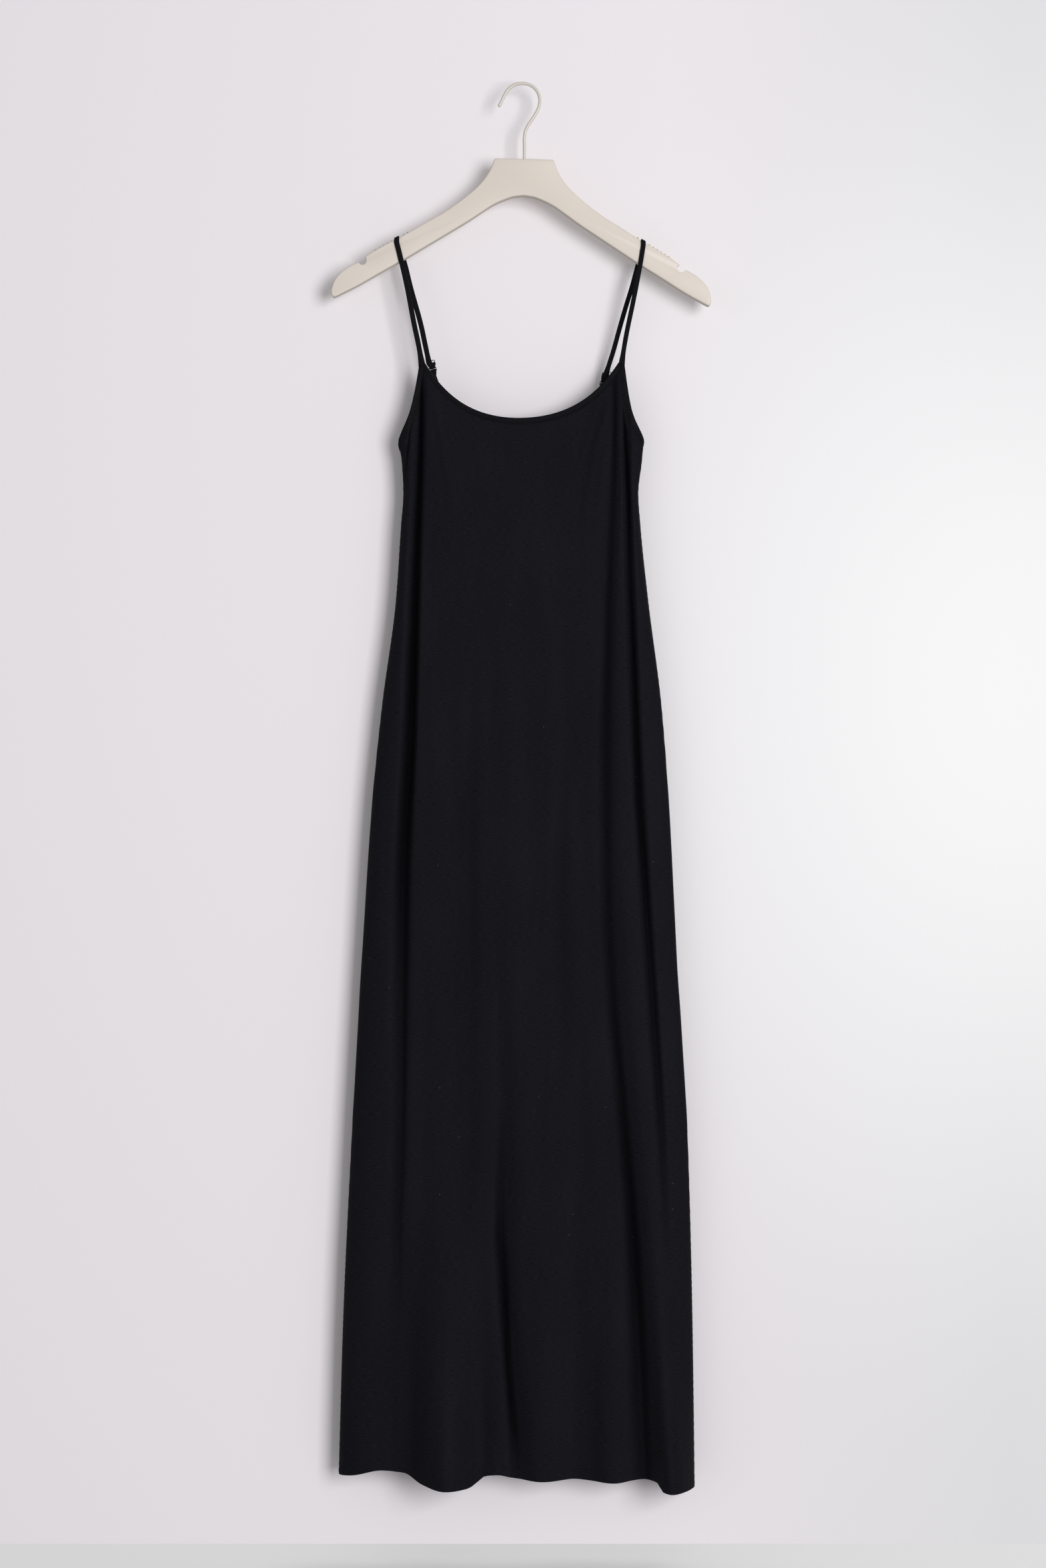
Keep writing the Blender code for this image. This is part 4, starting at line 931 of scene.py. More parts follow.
    def painted_shade(self, side: Side, across: Array, height: Array) -> Array:
        """How strongly painted shade darkens places on a panel, from 0 to 1."""
        if side is Side.FRONT:
            lit = [1 - painted_shade.share(across, height) for painted_shade in self.front_painted_shades]
            return 1 - np.prod(lit, axis=0)
        # on the back the painted shade follows the depth of the troughs
        sunk = sum(np.minimum(fold.push(across, height), 0) for fold in self.back_folds)
        return np.clip(-sunk / 5.0, 0, 0.85) ** 1.4

    def point(self, side: Side, girth: Array, height: Array) -> Array:
        """Find the middle of the cloth.

        Args:
            side: The panel.
            girth: Distances round it.
            height: Heights.

        Returns:
            Places in space.
        """
        girth = np.asarray(girth, float)
        height = np.asarray(height, float)
        left, right, depth, roll, length, whole = self.section_at(side, height)
        from_left = girth < whole / 2
        near = np.where(from_left, girth, whole - girth)
        turn = np.minimum(near / length, 1) * QUARTER
        inwards = roll * (1 - np.cos(turn)) + np.maximum(near - length, 0)
        across = np.where(from_left, left + inwards, right - inwards)
        out = np.sin(turn) * (depth + self.push(side, across, height))
        return np.stack((across, -out if side is Side.FRONT else out, height + 0 * girth), axis=-1)

    def normal(self, side: Side, girth: Array, height: Array) -> Array:
        """The outward normal of the cloth."""
        step = 0.3
        along = self.point(side, girth + step, height) - self.point(side, girth - step, height)
        up = self.point(side, girth, height + step) - self.point(side, girth, height - step)
        facing = unit(np.cross(along, up))
        return facing if side is Side.FRONT else -facing

    def round_seam(self, seam: Seam, around: Array, height: Array) -> tuple[Array, Array]:
        """Find the cloth on both sides of a side seam.

        Args:
            seam: The seam.
            around: Distances round the tube from it, front positive.
            height: Heights.

        Returns:
            Places and normals.
        """
        places, normals = np.zeros((*around.shape, 3)), np.zeros((*around.shape, 3))
        for side, chosen in ((Side.FRONT, around >= 0), (Side.BACK, around < 0)):
            girth, level = np.abs(around[chosen]), height[chosen]
            if seam is Seam.RIGHT:
                girth = self.whole(side, level) - girth
            places[chosen] = self.point(side, girth, level)
            normals[chosen] = self.normal(side, girth, level)
        return places, normals

    def neck_edge(self, side: Side, samples: int) -> Array:
        """Draw a neck's finished edge.

        Args:
            side: The panel.
            samples: How many places.

        Returns:
            Places from left tip to right tip, as round and up.
        """
        share = np.linspace(-1, 1, samples)
        (left_half, left_rise), (right_half, right_rise) = self.neck_reach[side]
        half = np.where(share < 0, left_half, right_half)
        rise = np.where(share < 0, left_rise, right_rise)
        roundness = self.neck_round[side]
        height = self.neck_lowest[side] + rise * (roundness * share ** 2 + (1 - roundness) * share ** 4)
        return np.stack((self.to_girth(side, self.neck_middle[side] + half * share, height), height), axis=1)

    def armhole_edge(self, seam: Seam, samples: int) -> Array:
        """An armhole's finished edge, back tip to front tip, round its seam and up."""
        places, heights = columns_of(self.armholes[seam])
        at = np.linspace(places[0], places[-1], samples)
        return np.stack((at, smooth(places, heights, at)), axis=1)

    def inner_edges(self, side: Side, distance: float) -> list[Array]:
        """Move a panel's upper edges into its cloth.

        Args:
            side: The panel.
            distance: How far.

        Returns:
            Left armhole, neck and right armhole, as round and up.
        """
        sign = 1 if side is Side.FRONT else -1
        edges = []
        for seam in Seam:
            inner = moved_in(self.armhole_edge(seam, self.edge_samples), distance) * (sign, 1)
            inner = inner[inner[:, 0] >= -distance]
            if seam is Seam.RIGHT:
                inner[:, 0] = self.whole(side, inner[:, 1]) - inner[:, 0]
            edges.append(inner[np.argsort(inner[:, 0])])
        neck = moved_in(self.neck_edge(side, self.edge_samples), distance)
        return [edges[0], neck[np.argsort(neck[:, 0])], edges[1]]

    def tip_place(self, side: Side, seam: Seam) -> float:
        """Where the inner edges of two bindings meet at a tip, as a distance round the panel."""
        left, neck, right = self.inner_edges(side, self.binding_width)
        arm = left if seam is Seam.LEFT else right
        girth = np.linspace(max(arm[0, 0], neck[0, 0]), min(arm[-1, 0], neck[-1, 0]), self.tip_samples)
        apart = np.abs(np.interp(girth, *arm.T) - np.interp(girth, *neck.T))
        return float(girth[np.argmin(apart)])

    def foot_line(self, seam: Seam, side: Side) -> tuple[Array, Array]:
        """The outer and inner ends of the line on which a strap meets the bindings, from the seam."""
        edge = self.armhole_edge(seam, 2)
        outer = edge[-1] if side is Side.FRONT else edge[0] * (-1, 1)
        neck = self.neck_edge(side, 3)
        inner = neck[0] if seam is Seam.LEFT else (self.whole(side, TUBE_TOP), 0) + neck[-1] * (-1, 1)
        return np.array(outer), np.array(inner)


# -------- panels

class Guide(NamedTuple):
    """A line that a panel's columns follow: a fold's name, an offset from it, and the strips before it."""

    fold: str
    offset: float
    strips: int


@dataclass
class Panel:
    """A front or back of the dress: one cut of jersey with a turned and twin-stitched hem."""

    form: DressForm
    side: Side
    guides: tuple[Guide, ...]
    last_strips: int
    wall: float = 1.2
    tuck: float = 4.9
    # the first column's distance from a side seam, then the width and columns of the strip beside it
    seam_gap: float = 0.06
    seam_strip: float = 2.4
    seam_columns: int = 4
    seam_dip: Pair = (0.5, 0.9)
    seam_pucker: Ripple = Ripple(0.14, 7.3, 1.0, 41)
    # how far from the seam or above the hem each pucker lies, and its reach
    seam_pucker_at: Pair = (2.2, 2.4)
    hem_pucker: Ripple = Ripple(0.16, 5.4, 2.0, 37)
    hem_pucker_at: Pair = (5.0, 7.5)
    hem_depth: float = 12.0
    hem_layer: float = 0.75
    hem_round: float = 1.1
    # heights of the stitched rows over the hem, their groove's depth and reach, and how far threads sink
    stitch_rows: Pair = (10.6, 8.2)
    stitch_groove: Pair = (0.2, 0.42)
    stitch_sink: float = 0.12
    rows_above: int = 230
    # how the rows above the hem draw together, once and twice down the panel
    row_ease: Pair = (0.055, 0.02)
    sag_zone: float = 16.0
    # distances above the hem of the close rows
    hem_rows: tuple[float, ...] = (
        15.2, 13.9, 13.0, 12.4, 12.1, 11.8, 11.4, 11.0, 10.8, 10.6, 10.4, 10.1, 9.6, 9.0, 8.6, 8.4, 8.2, 8.0,
        7.7, 7.1, 6.2, 5.2, 4.2, 3.2, 2.4, 1.7, 1.2, 0.8, 0.5, 0.25, 0.08, 0.0,
    )
    # passes that settle the upper edge and the hem on their columns
    edge_passes: int = 8
    hem_passes: int = 5

    @classmethod
    def front(cls, form: DressForm) -> "Panel":
        """The front, its columns on the main folds."""
        return cls(form, Side.FRONT, (
            Guide("left strap crease", -5.0, 22), Guide("left strap crease", 0.0, 6),
            Guide("left strap crease", 6.5, 7), Guide("left hem bulge", 0.0, 12),
            Guide("lower middle groove", -8.0, 15), Guide("lower middle groove", 0.0, 4),
            Guide("lower middle groove", 12.0, 4), Guide("beside the right ridge", -6.0, 25),
            Guide("beside the right ridge", 3.0, 4), Guide("right ridge", 0.0, 11),
            Guide("right strap groove", -4.2, 4), Guide("right strap groove", 0.0, 5),
            Guide("right strap groove", 5.0, 6)), 22)

    @classmethod
    def back(cls, form: DressForm) -> "Panel":
        """The back, its columns on the main folds."""
        return cls(form, Side.BACK, (
            Guide("left strap crease", -5.0, 18), Guide("left strap crease", 0.0, 4),
            Guide("left strap crease", 6.0, 4), Guide("left hem wave", 0.0, 13),
            Guide("middle groove", 0.0, 16),
            Guide("right hem wave", 0.0, 16), Guide("right strap crease", -6.0, 12),
            Guide("right strap crease", 0.0, 5), Guide("right strap crease", 5.0, 4)), 20)

    def strips(self) -> list[int]:
        """How many strips of cloth lie between one stop and the next, from seam to seam."""
        between = [guide.strips for guide in self.guides]
        return [self.seam_columns, *between, self.last_strips, self.seam_columns]

    def column_girths(self, heights: Array) -> Array:
        """Run the columns down the folds.

        Args:
            heights: Rows of heights, a height a column.

        Returns:
            The distance round the panel of each column at each height.
        """
        form, side = self.form, self.side
        folds = {fold.name: fold for fold in form.folds(side)}
        whole = form.whole(side, heights)
        stops = [self.seam_gap + 0 * heights, self.seam_strip + 0 * heights]
        for guide in self.guides:
            across = smooth(LEVELS, folds[guide.fold].across, heights) + guide.offset
            stops.append(form.to_girth(side, across, heights))
        stops = np.array(stops + [whole - self.seam_strip, whole - self.seam_gap])
        shares = np.array([0.0] + [n + (k + 1) / count
                                   for n, count in enumerate(self.strips()) for k in range(count)])
        passed = np.minimum(shares.astype(int), len(stops) - 2)
        column = np.arange(len(shares))
        before, after = stops[passed, ..., column], stops[passed + 1, ..., column]
        between = (shares - passed).reshape(-1, *[1] * (before.ndim - 1))
        return np.moveaxis(before + (after - before) * between, 0, -1)

    def top_at(self, girth: Array) -> Array:
        """Height of the cut edge, tucked into the bindings."""
        left, neck, right = self.form.inner_edges(self.side, self.tuck)
        high = 1e4
        over = [np.interp(girth, *left.T, right=high), np.interp(girth, *neck.T, left=high, right=high),
                np.interp(girth, *right.T, left=high)]
        return np.minimum.reduce(over)

    def grid(self) -> tuple[Array, Array, Array]:
        """Lay out the cloth.

        Returns:
            Distance round, height, and distance above the hem, each rows by columns.
        """
        columns = 1 + sum(self.strips())
        top = np.full(columns, TUBE_TOP)
        for _ in range(self.edge_passes):
            top = self.top_at(self.column_girths(top))
        hem = np.full(columns, HEM_START)
        for _ in range(self.hem_passes):
            across = self.form.point(self.side, self.column_girths(hem), hem)[..., 0]
            hem = smooth(*columns_of(self.form.hems[self.side]), across)
        share = np.linspace(0, 1, self.rows_above)
        once, twice = self.row_ease
        share = share - once * np.sin(2 * math.pi * share) + twice * np.sin(4 * math.pi * share)
        upper = top + share[:, None] * (hem + self.sag_zone - top)
        heights = np.concatenate((upper, hem + np.array(self.hem_rows)[:, None]))
        return self.column_girths(heights), heights, heights - hem

    def wall_at(self, girth: Array, height: Array, above_hem: Array) -> tuple[Array, ...]:
        """Work out the wall, with its turned hem, stitched grooves and puckers.

        Args:
            girth: Distance round the panel.
            height: Height.
            above_hem: Distance above the hem.

        Returns:
            How far the outer and the inner face lie from the middle of the cloth.
        """
        from_seam = np.minimum(girth, self.form.whole(self.side, height) - girth)
        turned = above_hem < self.hem_depth
        rounding = np.sqrt(np.clip(1 - (1 - np.clip(above_hem / self.hem_round, 0, 1)) ** 2, 0.02, 1))
        half = self.wall / 2
        deep, reach = self.stitch_groove
        groove = sum(deep * bell(above_hem - row, reach) for row in self.stitch_rows)
        at, spread = self.hem_pucker_at
        pucker = self.hem_pucker.at(girth) * bell(above_hem - at, spread)
        dip = self.seam_dip[0] * bell(from_seam, self.seam_dip[1])
        at, spread = self.seam_pucker_at
        seam_pucker = self.seam_pucker.at(height) * bell(from_seam - at, spread)
        outside = half - groove + pucker - dip + seam_pucker
        return outside * rounding, (half + turned * self.hem_layer) * rounding

    def build(self, material: Material) -> Piece:
        """Make the panel.

        Args:
            material: The jersey.

        Returns:
            The finished piece, with the strength of its painted fold shade on each vertex.
        """
        girth, height, above_hem = self.grid()
        place = self.form.point(self.side, girth, height)
        facing = self.form.normal(self.side, girth, height)
        outside, inside = self.wall_at(girth, height, above_hem)
        name = self.side.value + "_panel_cloth"
        mesh = shell(name, place + facing * outside[..., None], place - facing * inside[..., None],
                     np.stack((girth, height), axis=-1))
        # painted shade in the folds, stored on each vertex for the jersey to darken by
        sunk = self.form.painted_shade(self.side, place[..., 0], height).ravel()
        layer = mesh.attributes.new(PAINTED_SHADE, "FLOAT", "POINT")
        layer.data.foreach_set("value", np.concatenate((sunk, sunk)).astype(np.float32))
        return finish_piece(keep_mesh(name, mesh, material), "jersey", self.side.value + "_panel")

    def cut_size(self) -> tuple[Pair, float]:
        """Measure the cut along its cloth.

        Returns:
            Its width and length in metres, and its area in square metres.
        """
        girth, height, _ = self.grid()
        place = self.form.point(self.side, girth, height)
        down = place[1:, :] - place[:-1, :]
        along = place[:, 1:] - place[:, :-1]
        area = np.linalg.norm(np.cross(down[:, :-1], along[:-1]), axis=-1).sum() * MM * MM
        width = np.linalg.norm(along, axis=-1).sum(axis=1).max() * MM
        length = (height.max() - height.min()) * MM
        return (float(width), float(length)), float(area)

    def hem_path(self, above: float) -> Array:
        """The line of a row of stitches a distance above the hem, on the outer face."""
        level = self.grid()[1][-1] + above
        girths = self.column_girths(level[None])[0]
        keep = slice(2, -2)
        place = self.form.point(self.side, girths[keep], level[keep])
        facing = self.form.normal(self.side, girths[keep], level[keep])
        return place + facing * (self.wall / 2 - self.stitch_sink)


# -------- bindings

@dataclass
class Binding:
    """A folded strip of jersey round an edge: its outline in section runs from the edge inwards."""

    form: DressForm
    stations: int = 260
    # distance in from the finished edge, and height over the middle of the cloth
    profile: tuple[Pair, ...] = (
        (0.02, 0.00), (0.10, 0.42), (0.35, 0.80), (0.85, 1.06), (1.60, 1.16), (2.60, 1.14), (3.60, 1.10),
        (4.15, 1.02), (4.45, 0.86), (4.75, 0.84), (5.05, 0.98), (5.45, 0.98), (5.80, 0.84), (5.98, 0.50),
        (5.98, -0.50), (5.70, -0.86), (5.00, -1.00), (3.60, -1.12), (2.00, -1.16), (0.90, -1.06),
        (0.35, -0.80),
        (0.10, -0.42),
    )
    stitch_line: float = 4.6
    stitch_lift: float = 0.96
    ripple: Ripple = Ripple(0.05, 6.1, 1.7, 23)
    # the gap left where two bindings meet at a tip
    nudge: float = 0.03

    def ends(self, seam: Seam, side: Side, outer_first: bool) -> tuple[Array, Array]:
        """Find the ends of a binding's last row.

        Args:
            seam: The side of the dress on which the tip lies.
            side: The tip's panel.
            outer_first: Whether the binding's finished edge is at the foot's outer end.

        Returns:
            The end at the finished edge, and the end where two bindings meet.
        """
        outer, inner = self.form.foot_line(seam, side)
        tip = self.form.tip_place(side, seam)
        if seam is Seam.RIGHT:
            tip = float(self.form.whole(side, TUBE_TOP)) - tip
        share = (tip - outer[0]) / (inner[0] - outer[0])
        start, nudge = (outer, -self.nudge) if outer_first else (inner, self.nudge)
        return start, outer + share * (inner - outer) + (nudge, 0)

    def lines(self, target: Seam | Side) -> tuple[Array, Array]:
        """Find the two edges of a binding.

        Args:
            target: The armhole or neck that it binds.

        Returns:
            The finished edge and the inner edge, as round and up.
        """
        form, width = self.form, self.form.binding_width
        if isinstance(target, Seam):
            edge = form.armhole_edge(target, self.stations)
            inner = moved_in(edge, width)
            whole = float(form.whole(Side.FRONT, TUBE_TOP))
            start = whole if target is Seam.RIGHT else 0
            limit = {side: abs(start - form.tip_place(side, target)) - self.nudge for side in Side}
            inner[:, 0] = np.clip(inner[:, 0], -limit[Side.BACK], limit[Side.FRONT])
            back, front = (self.ends(target, side, True) for side in (Side.BACK, Side.FRONT))
            edge[0], inner[0] = (end * (-1, 1) for end in back)
            edge[-1], inner[-1] = front
            return edge, inner
        edge = form.neck_edge(target, self.stations)
        inner = moved_in(edge, width)
        inner[:, 0] = np.clip(inner[:, 0], form.tip_place(target, Seam.LEFT) + self.nudge,
                              form.tip_place(target, Seam.RIGHT) - self.nudge)
        edge[0], inner[0] = self.ends(Seam.LEFT, target, False)
        mirror = (float(form.whole(target, TUBE_TOP)), 0)
        edge[-1], inner[-1] = (mirror + end * (-1, 1) for end in self.ends(Seam.RIGHT, target, False))
        return edge, inner

    def on_cloth(self, target: Seam | Side, place: Array) -> tuple[Array, Array]:
        """Places and normals in space for places round and up."""
        around, height = place[..., 0], place[..., 1]
        if isinstance(target, Seam):
            return self.form.round_seam(target, around, height)
        return self.form.point(target, around, height), self.form.normal(target, around, height)

    def build(self, target: Seam | Side, material: Material) -> Piece:
        """Make one binding.

        Args:
            target: The armhole or neck that it binds.
            material: Its cloth.

        Returns:
            The finished piece.
        """
        kind = "armhole" if isinstance(target, Seam) else "neck"
        node = f"{kind}_binding_{target.value}"
        edge, inner = self.lines(target)
        run = run_of(edge)
        across, lift = (np.array(column) for column in columns_of(self.profile))
        share = (across / self.form.binding_width)[None, :, None]
        place, facing = self.on_cloth(target, edge[:, None] * (1 - share) + inner[:, None] * share)
        ripple = 1 + self.ripple.at(run)
        rings = place + facing * (lift[None, :] * ripple[:, None])[..., None]
        wrapped = np.cumsum(np.abs(np.gradient(across)))
        flat = np.stack(np.broadcast_arrays(wrapped[None, :], run[:, None]), axis=-1)
        piece = keep_mesh(node + "_cloth", sleeve(node, rings, flat), material)
        return finish_piece(piece, "binding", node)

    def stitch_path(self, target: Seam | Side) -> Array:
        """The line of stitches that holds a binding down, on its outer face."""
        edge, inner = self.lines(target)
        share = self.stitch_line / self.form.binding_width
        keep = slice(6, -6)
        place, facing = self.on_cloth(target, (edge * (1 - share) + inner * share)[keep])
        return place + facing * self.stitch_lift


# -------- the hanger

@dataclass
class Hanger:
    """A flat painted plate with a wire hook and a ribbed grip let into each shoulder."""

    at: Pair = (1.98, -82.4)
    tilt: float = math.radians(1.35)
    thick: float = 12.0
    ease: float = 1.7
    # out from the middle and height, along the upper edge
    shoulder: Table = (
        (32.7, 0), (35.4, -8), (41, -19), (48.5, -28.8), (61, -40.6), (74, -51),
        (88, -61), (106, -71.6), (124, -82.6), (158, -101.8), (170, -109.6),
        (180, -117.4), (187, -120.8), (193, -124.5), (199, -129.4), (203.5, -134.6),
        (207, -140.6), (209, -147.5),
    )
    tip: Table = ((209.25, -149.4), (209.2, -151.2), (208.9, -153.2), (208.1, -155), (207, -156.2),
                  (205.8, -156.7))
    underside: Table = (
        (204, -156), (180, -143.3), (155, -128.2), (130, -113.4), (105, -97.8),
        (80, -82.2), (58, -68), (44, -58.2), (32.5, -50.6), (21.6, -45.4), (11, -41.6),
        (0, -40.1),
    )
    notch_at: Pair = (175.6, -115.9)
    notch_radius: float = 4.8
    stem_hole: float = 2.1
    grip_ends: Table = ((120.0, -80.3), (167.5, -107.8))
    grip_depth: float = 1.4
    grip_width: float = 6.0
    rib_pitch: float = 5.0
    rib_height: float = 1.4
    rib_half: float = 0.95
    ribs: int = 9
    rib_clear: float = 4.6
    wire: float = 1.84
    wire_sides: int = 24
    tip_stops: int = 7
    hook_line: Table = (
        (1.98, -97.5), (1.98, -80.6), (1.98, -68), (1.98, -57), (3.1, -51), (6.3, -44), (12.7, -34.5),
        (16.7, -27.3), (19, -20.1), (18.8, -13.7), (16, -6.5), (11.1, -1.5), (5.7, 1.05), (0, 1.84),
        (-5.6, 1.35), (-10.6, -0.6), (-15.9, -4.9), (-19.9, -11.3), (-23.1, -17.7), (-26.3, -24.1),
    )

    def hung(self, place: Array | Sequence[float]) -> Pair:
        """A place on the upright hanger, across and up, as it hangs."""
        x, z = place
        cos, sin = math.cos(self.tilt), math.sin(self.tilt)
        return self.at[0] + x * cos + z * sin, self.at[1] - x * sin + z * cos

    def placed(self, shape: Piece) -> Piece:
        """Hang a shape made in the upright frame."""
        shape.location = (self.at[0] * MM, 0, self.at[1] * MM)
        shape.rotation_euler.y = self.tilt
        return shape

    def top_at(self, across: float) -> Pair:
        """Height and slope of the upper edge at a place across."""
        out, height = columns_of(self.shoulder)
        sign = 1 if across > self.at[0] else -1
        places = np.linspace(out[1], out[-2], 300)
        edge = np.array([self.hung((sign * x, float(smooth(out, height, x)))) for x in places])
        edge = edge[np.argsort(edge[:, 0])]
        low, here, high = (float(np.interp(across + d, edge[:, 0], edge[:, 1])) for d in (-3, 0, 3))
        return here, (high - low) / 6

    def outline(self) -> list[Pair]:
        """The plate's outline in its upright frame."""
        out, height = columns_of(self.shoulder)
        half = [(x, float(smooth(out, height, x))) for x in np.linspace(out[0], out[-1], 84)]
        half += self.tip
        out, height = columns_of(self.underside)
        half += [(x, float(smooth(out, height, x))) for x in np.linspace(203.0, 4.0, 52)]
        return half + [(0.0, height[-1])] + [(-x, z) for x, z in reversed(half)]

    def flat_plate(self, name: str, outline: Sequence[Pair], thick: float) -> Piece:
        """Stand a flat shape up and hang it.

        Args:
            name: Its name.
            outline: Its outline in the upright frame.
            thick: Its thickness.

        Returns:
            The shape.
        """
        curve = bpy.data.curves.new(name, "CURVE")
        curve.dimensions = "2D"
        curve.fill_mode = "BOTH"
        curve.extrude = thick / 2 * MM
        spline = curve.splines.new("POLY")
        spline.points.add(len(outline) - 1)
        for point, (x, z) in zip(spline.points, outline):
            point.co = (x * MM, z * MM, 0, 1)
        spline.use_cyclic_u = True
        stood = show(bpy.data.objects.new(name, curve))
        stood.rotation_euler = (QUARTER, 0, 0)
        return self.placed(stood)

    def grip_line(self, sign: int) -> tuple[Array, Array, float]:
        """Start, direction and length of a shoulder's grip."""
        start, end = (np.array((sign * x, z)) for x, z in self.grip_ends)
        length = float(np.linalg.norm(end - start))
        return start, (end - start) / length, length

    def cutters(self) -> list[Piece]:
        """Make the tools that cut the plate.

        Returns:
            The tools for its notches, its grips' grooves and its stem's hole.
        """
        made = []
        for sign in (-1, 1):
            bpy.ops.mesh.primitive_cylinder_add(vertices=56, radius=self.notch_radius * MM, depth=0.03)
            notch = bpy.context.object
            notch.data.transform(Matrix.Rotation(QUARTER, 4, "X"))
            notch.data.transform(Matrix.Translation((sign * self.notch_at[0] * MM, 0, self.notch_at[1] * MM)))
            made.append(self.placed(notch))
            start, way, length = self.grip_line(sign)
            middle = start + way * length / 2
            bpy.ops.mesh.primitive_cube_add(size=MM)
            groove = bpy.context.object
            groove.data.transform(Matrix.Diagonal((length + 0.4, self.grip_width + 0.4,
                                                   2 * self.grip_depth + 0.5, 1)))
            groove.data.transform(Matrix.Rotation(-math.atan2(way[1], way[0]), 4, "Y"))
            groove.data.transform(Matrix.Translation((middle[0] * MM, 0, middle[1] * MM)))
            made.append(self.placed(groove))
        bpy.ops.mesh.primitive_cylinder_add(vertices=32, radius=self.stem_hole * MM, depth=0.03)
        hole = bpy.context.object
        hole.location = (self.hook_line[0][0] * MM, 0, self.at[1] * MM)
        return made + [hole]

    def build_plate(self, material: Material) -> Piece:
        """Make the plate with eased edges, notches and grooves.

        Args:
            material: Its paint.

        Returns:
            The finished piece.
        """
        mesh = as_mesh(self.flat_plate("plate", self.outline(), self.thick))
        with editing(mesh) as joined:
            bmesh.ops.dissolve_limit(joined, angle_limit=math.radians(0.5), verts=joined.verts,
                                     edges=joined.edges)
        body = keep_mesh("hanger_plate", mesh, material)
        bevel(body, "eased edges", self.ease, 4, 60)
        tools = self.cutters()
        for tool in tools:
            cut = body.modifiers.new("cut", "BOOLEAN")
            cut.operation = "DIFFERENCE"
            cut.object = tool
        bevel(body, "soft rims", 0.25, 2, 50)
        mesh = as_mesh(body)
        for tool in tools:
            bpy.data.objects.remove(tool, do_unlink=True)
        mesh.shade_smooth()
        mesh.set_sharp_from_angle(angle=math.radians(28))
        return finish_piece(keep_mesh("hanger_plate", mesh, material), "cream_paint", "hanger_body")

    def build_hook(self, material: Material) -> Piece:
        """Make the wire, full to a radius from its tip and rounded over the rest.

        Args:
            material: The wire's finish.

        Returns:
            The finished piece.
        """
        line = flowing(np.array([(x, 0, z) for x, z in self.hook_line]), 9)
        run = run_of(line)
        full = line[run[-1] - run > self.wire]
        at = np.linspace(run[-1] - self.wire, run[-1], self.tip_stops)
        tip = np.stack([np.interp(at, run, line[:, axis]) for axis in range(3)], axis=1)
        path = np.concatenate((full, tip))
        closing = np.sqrt(np.clip(1 - np.linspace(0, 1, self.tip_stops) ** 2, 0.02, 1))
        radius = self.wire * np.concatenate((np.ones(len(full)), closing))
        rings = hoops(path, unit(np.gradient(path, axis=0)), radius, self.wire_sides)
        angle = angles_round(self.wire_sides)
        flat = np.stack(np.broadcast_arrays(angle[None, :], np.arange(len(path))[:, None]), axis=-1)
        piece = keep_mesh("hanger_wire", sleeve("hanger_wire", rings, flat), material)
        return finish_piece(piece, "cream_wire", "hanger_hook")

    def build_grip(self, seam: Seam, ribs: "GeometryTree", material: Material) -> Piece:
        """Make a grip: a strip in its groove, with ribs across it away from the strap.

        Args:
            seam: Its side.
            ribs: The tree that repeats a rib.
            material: Its rubber.

        Returns:
            The finished piece.
        """
        sign = -1 if seam is Seam.LEFT else 1
        start, way, length = self.grip_line(sign)
        up = across_of(way) * sign
        box = [start - up * self.grip_depth, start + way * length - up * self.grip_depth,
               start + way * length, start]
        strip = keep_mesh("strip", as_mesh(self.flat_plate("strip", box, self.grip_width)), material)
        bevel(strip, "eased edges", 0.3, 2)
        base = as_mesh(strip)
        first = (length - (self.ribs - 1) * self.rib_pitch) / 2
        middles = [self.hung(start + way * (first + n * self.rib_pitch)) for n in range(self.ribs)]
        stops = np.array([(x, 0.0, z) for x, z in middles if abs(x - STRAP_TOPS[seam]) > self.rib_clear])
        row = ribs.run("grip_ribs_" + seam.value, stops, material,
                       {"Length": self.grip_width * MM, "Half Width": self.rib_half * MM,
                        "Height": self.rib_height * MM, "Slope": math.atan2(up[0], up[1]) + self.tilt})
        with editing(base) as joined:
            joined.from_mesh(row)
        base.shade_smooth()
        base.set_sharp_from_angle(angle=math.radians(40))
        piece = keep_mesh("grip_rubber_" + seam.value, base, material)
        return finish_piece(piece, "grip_rubber", "grip_" + seam.value)


# -------- repeated shapes

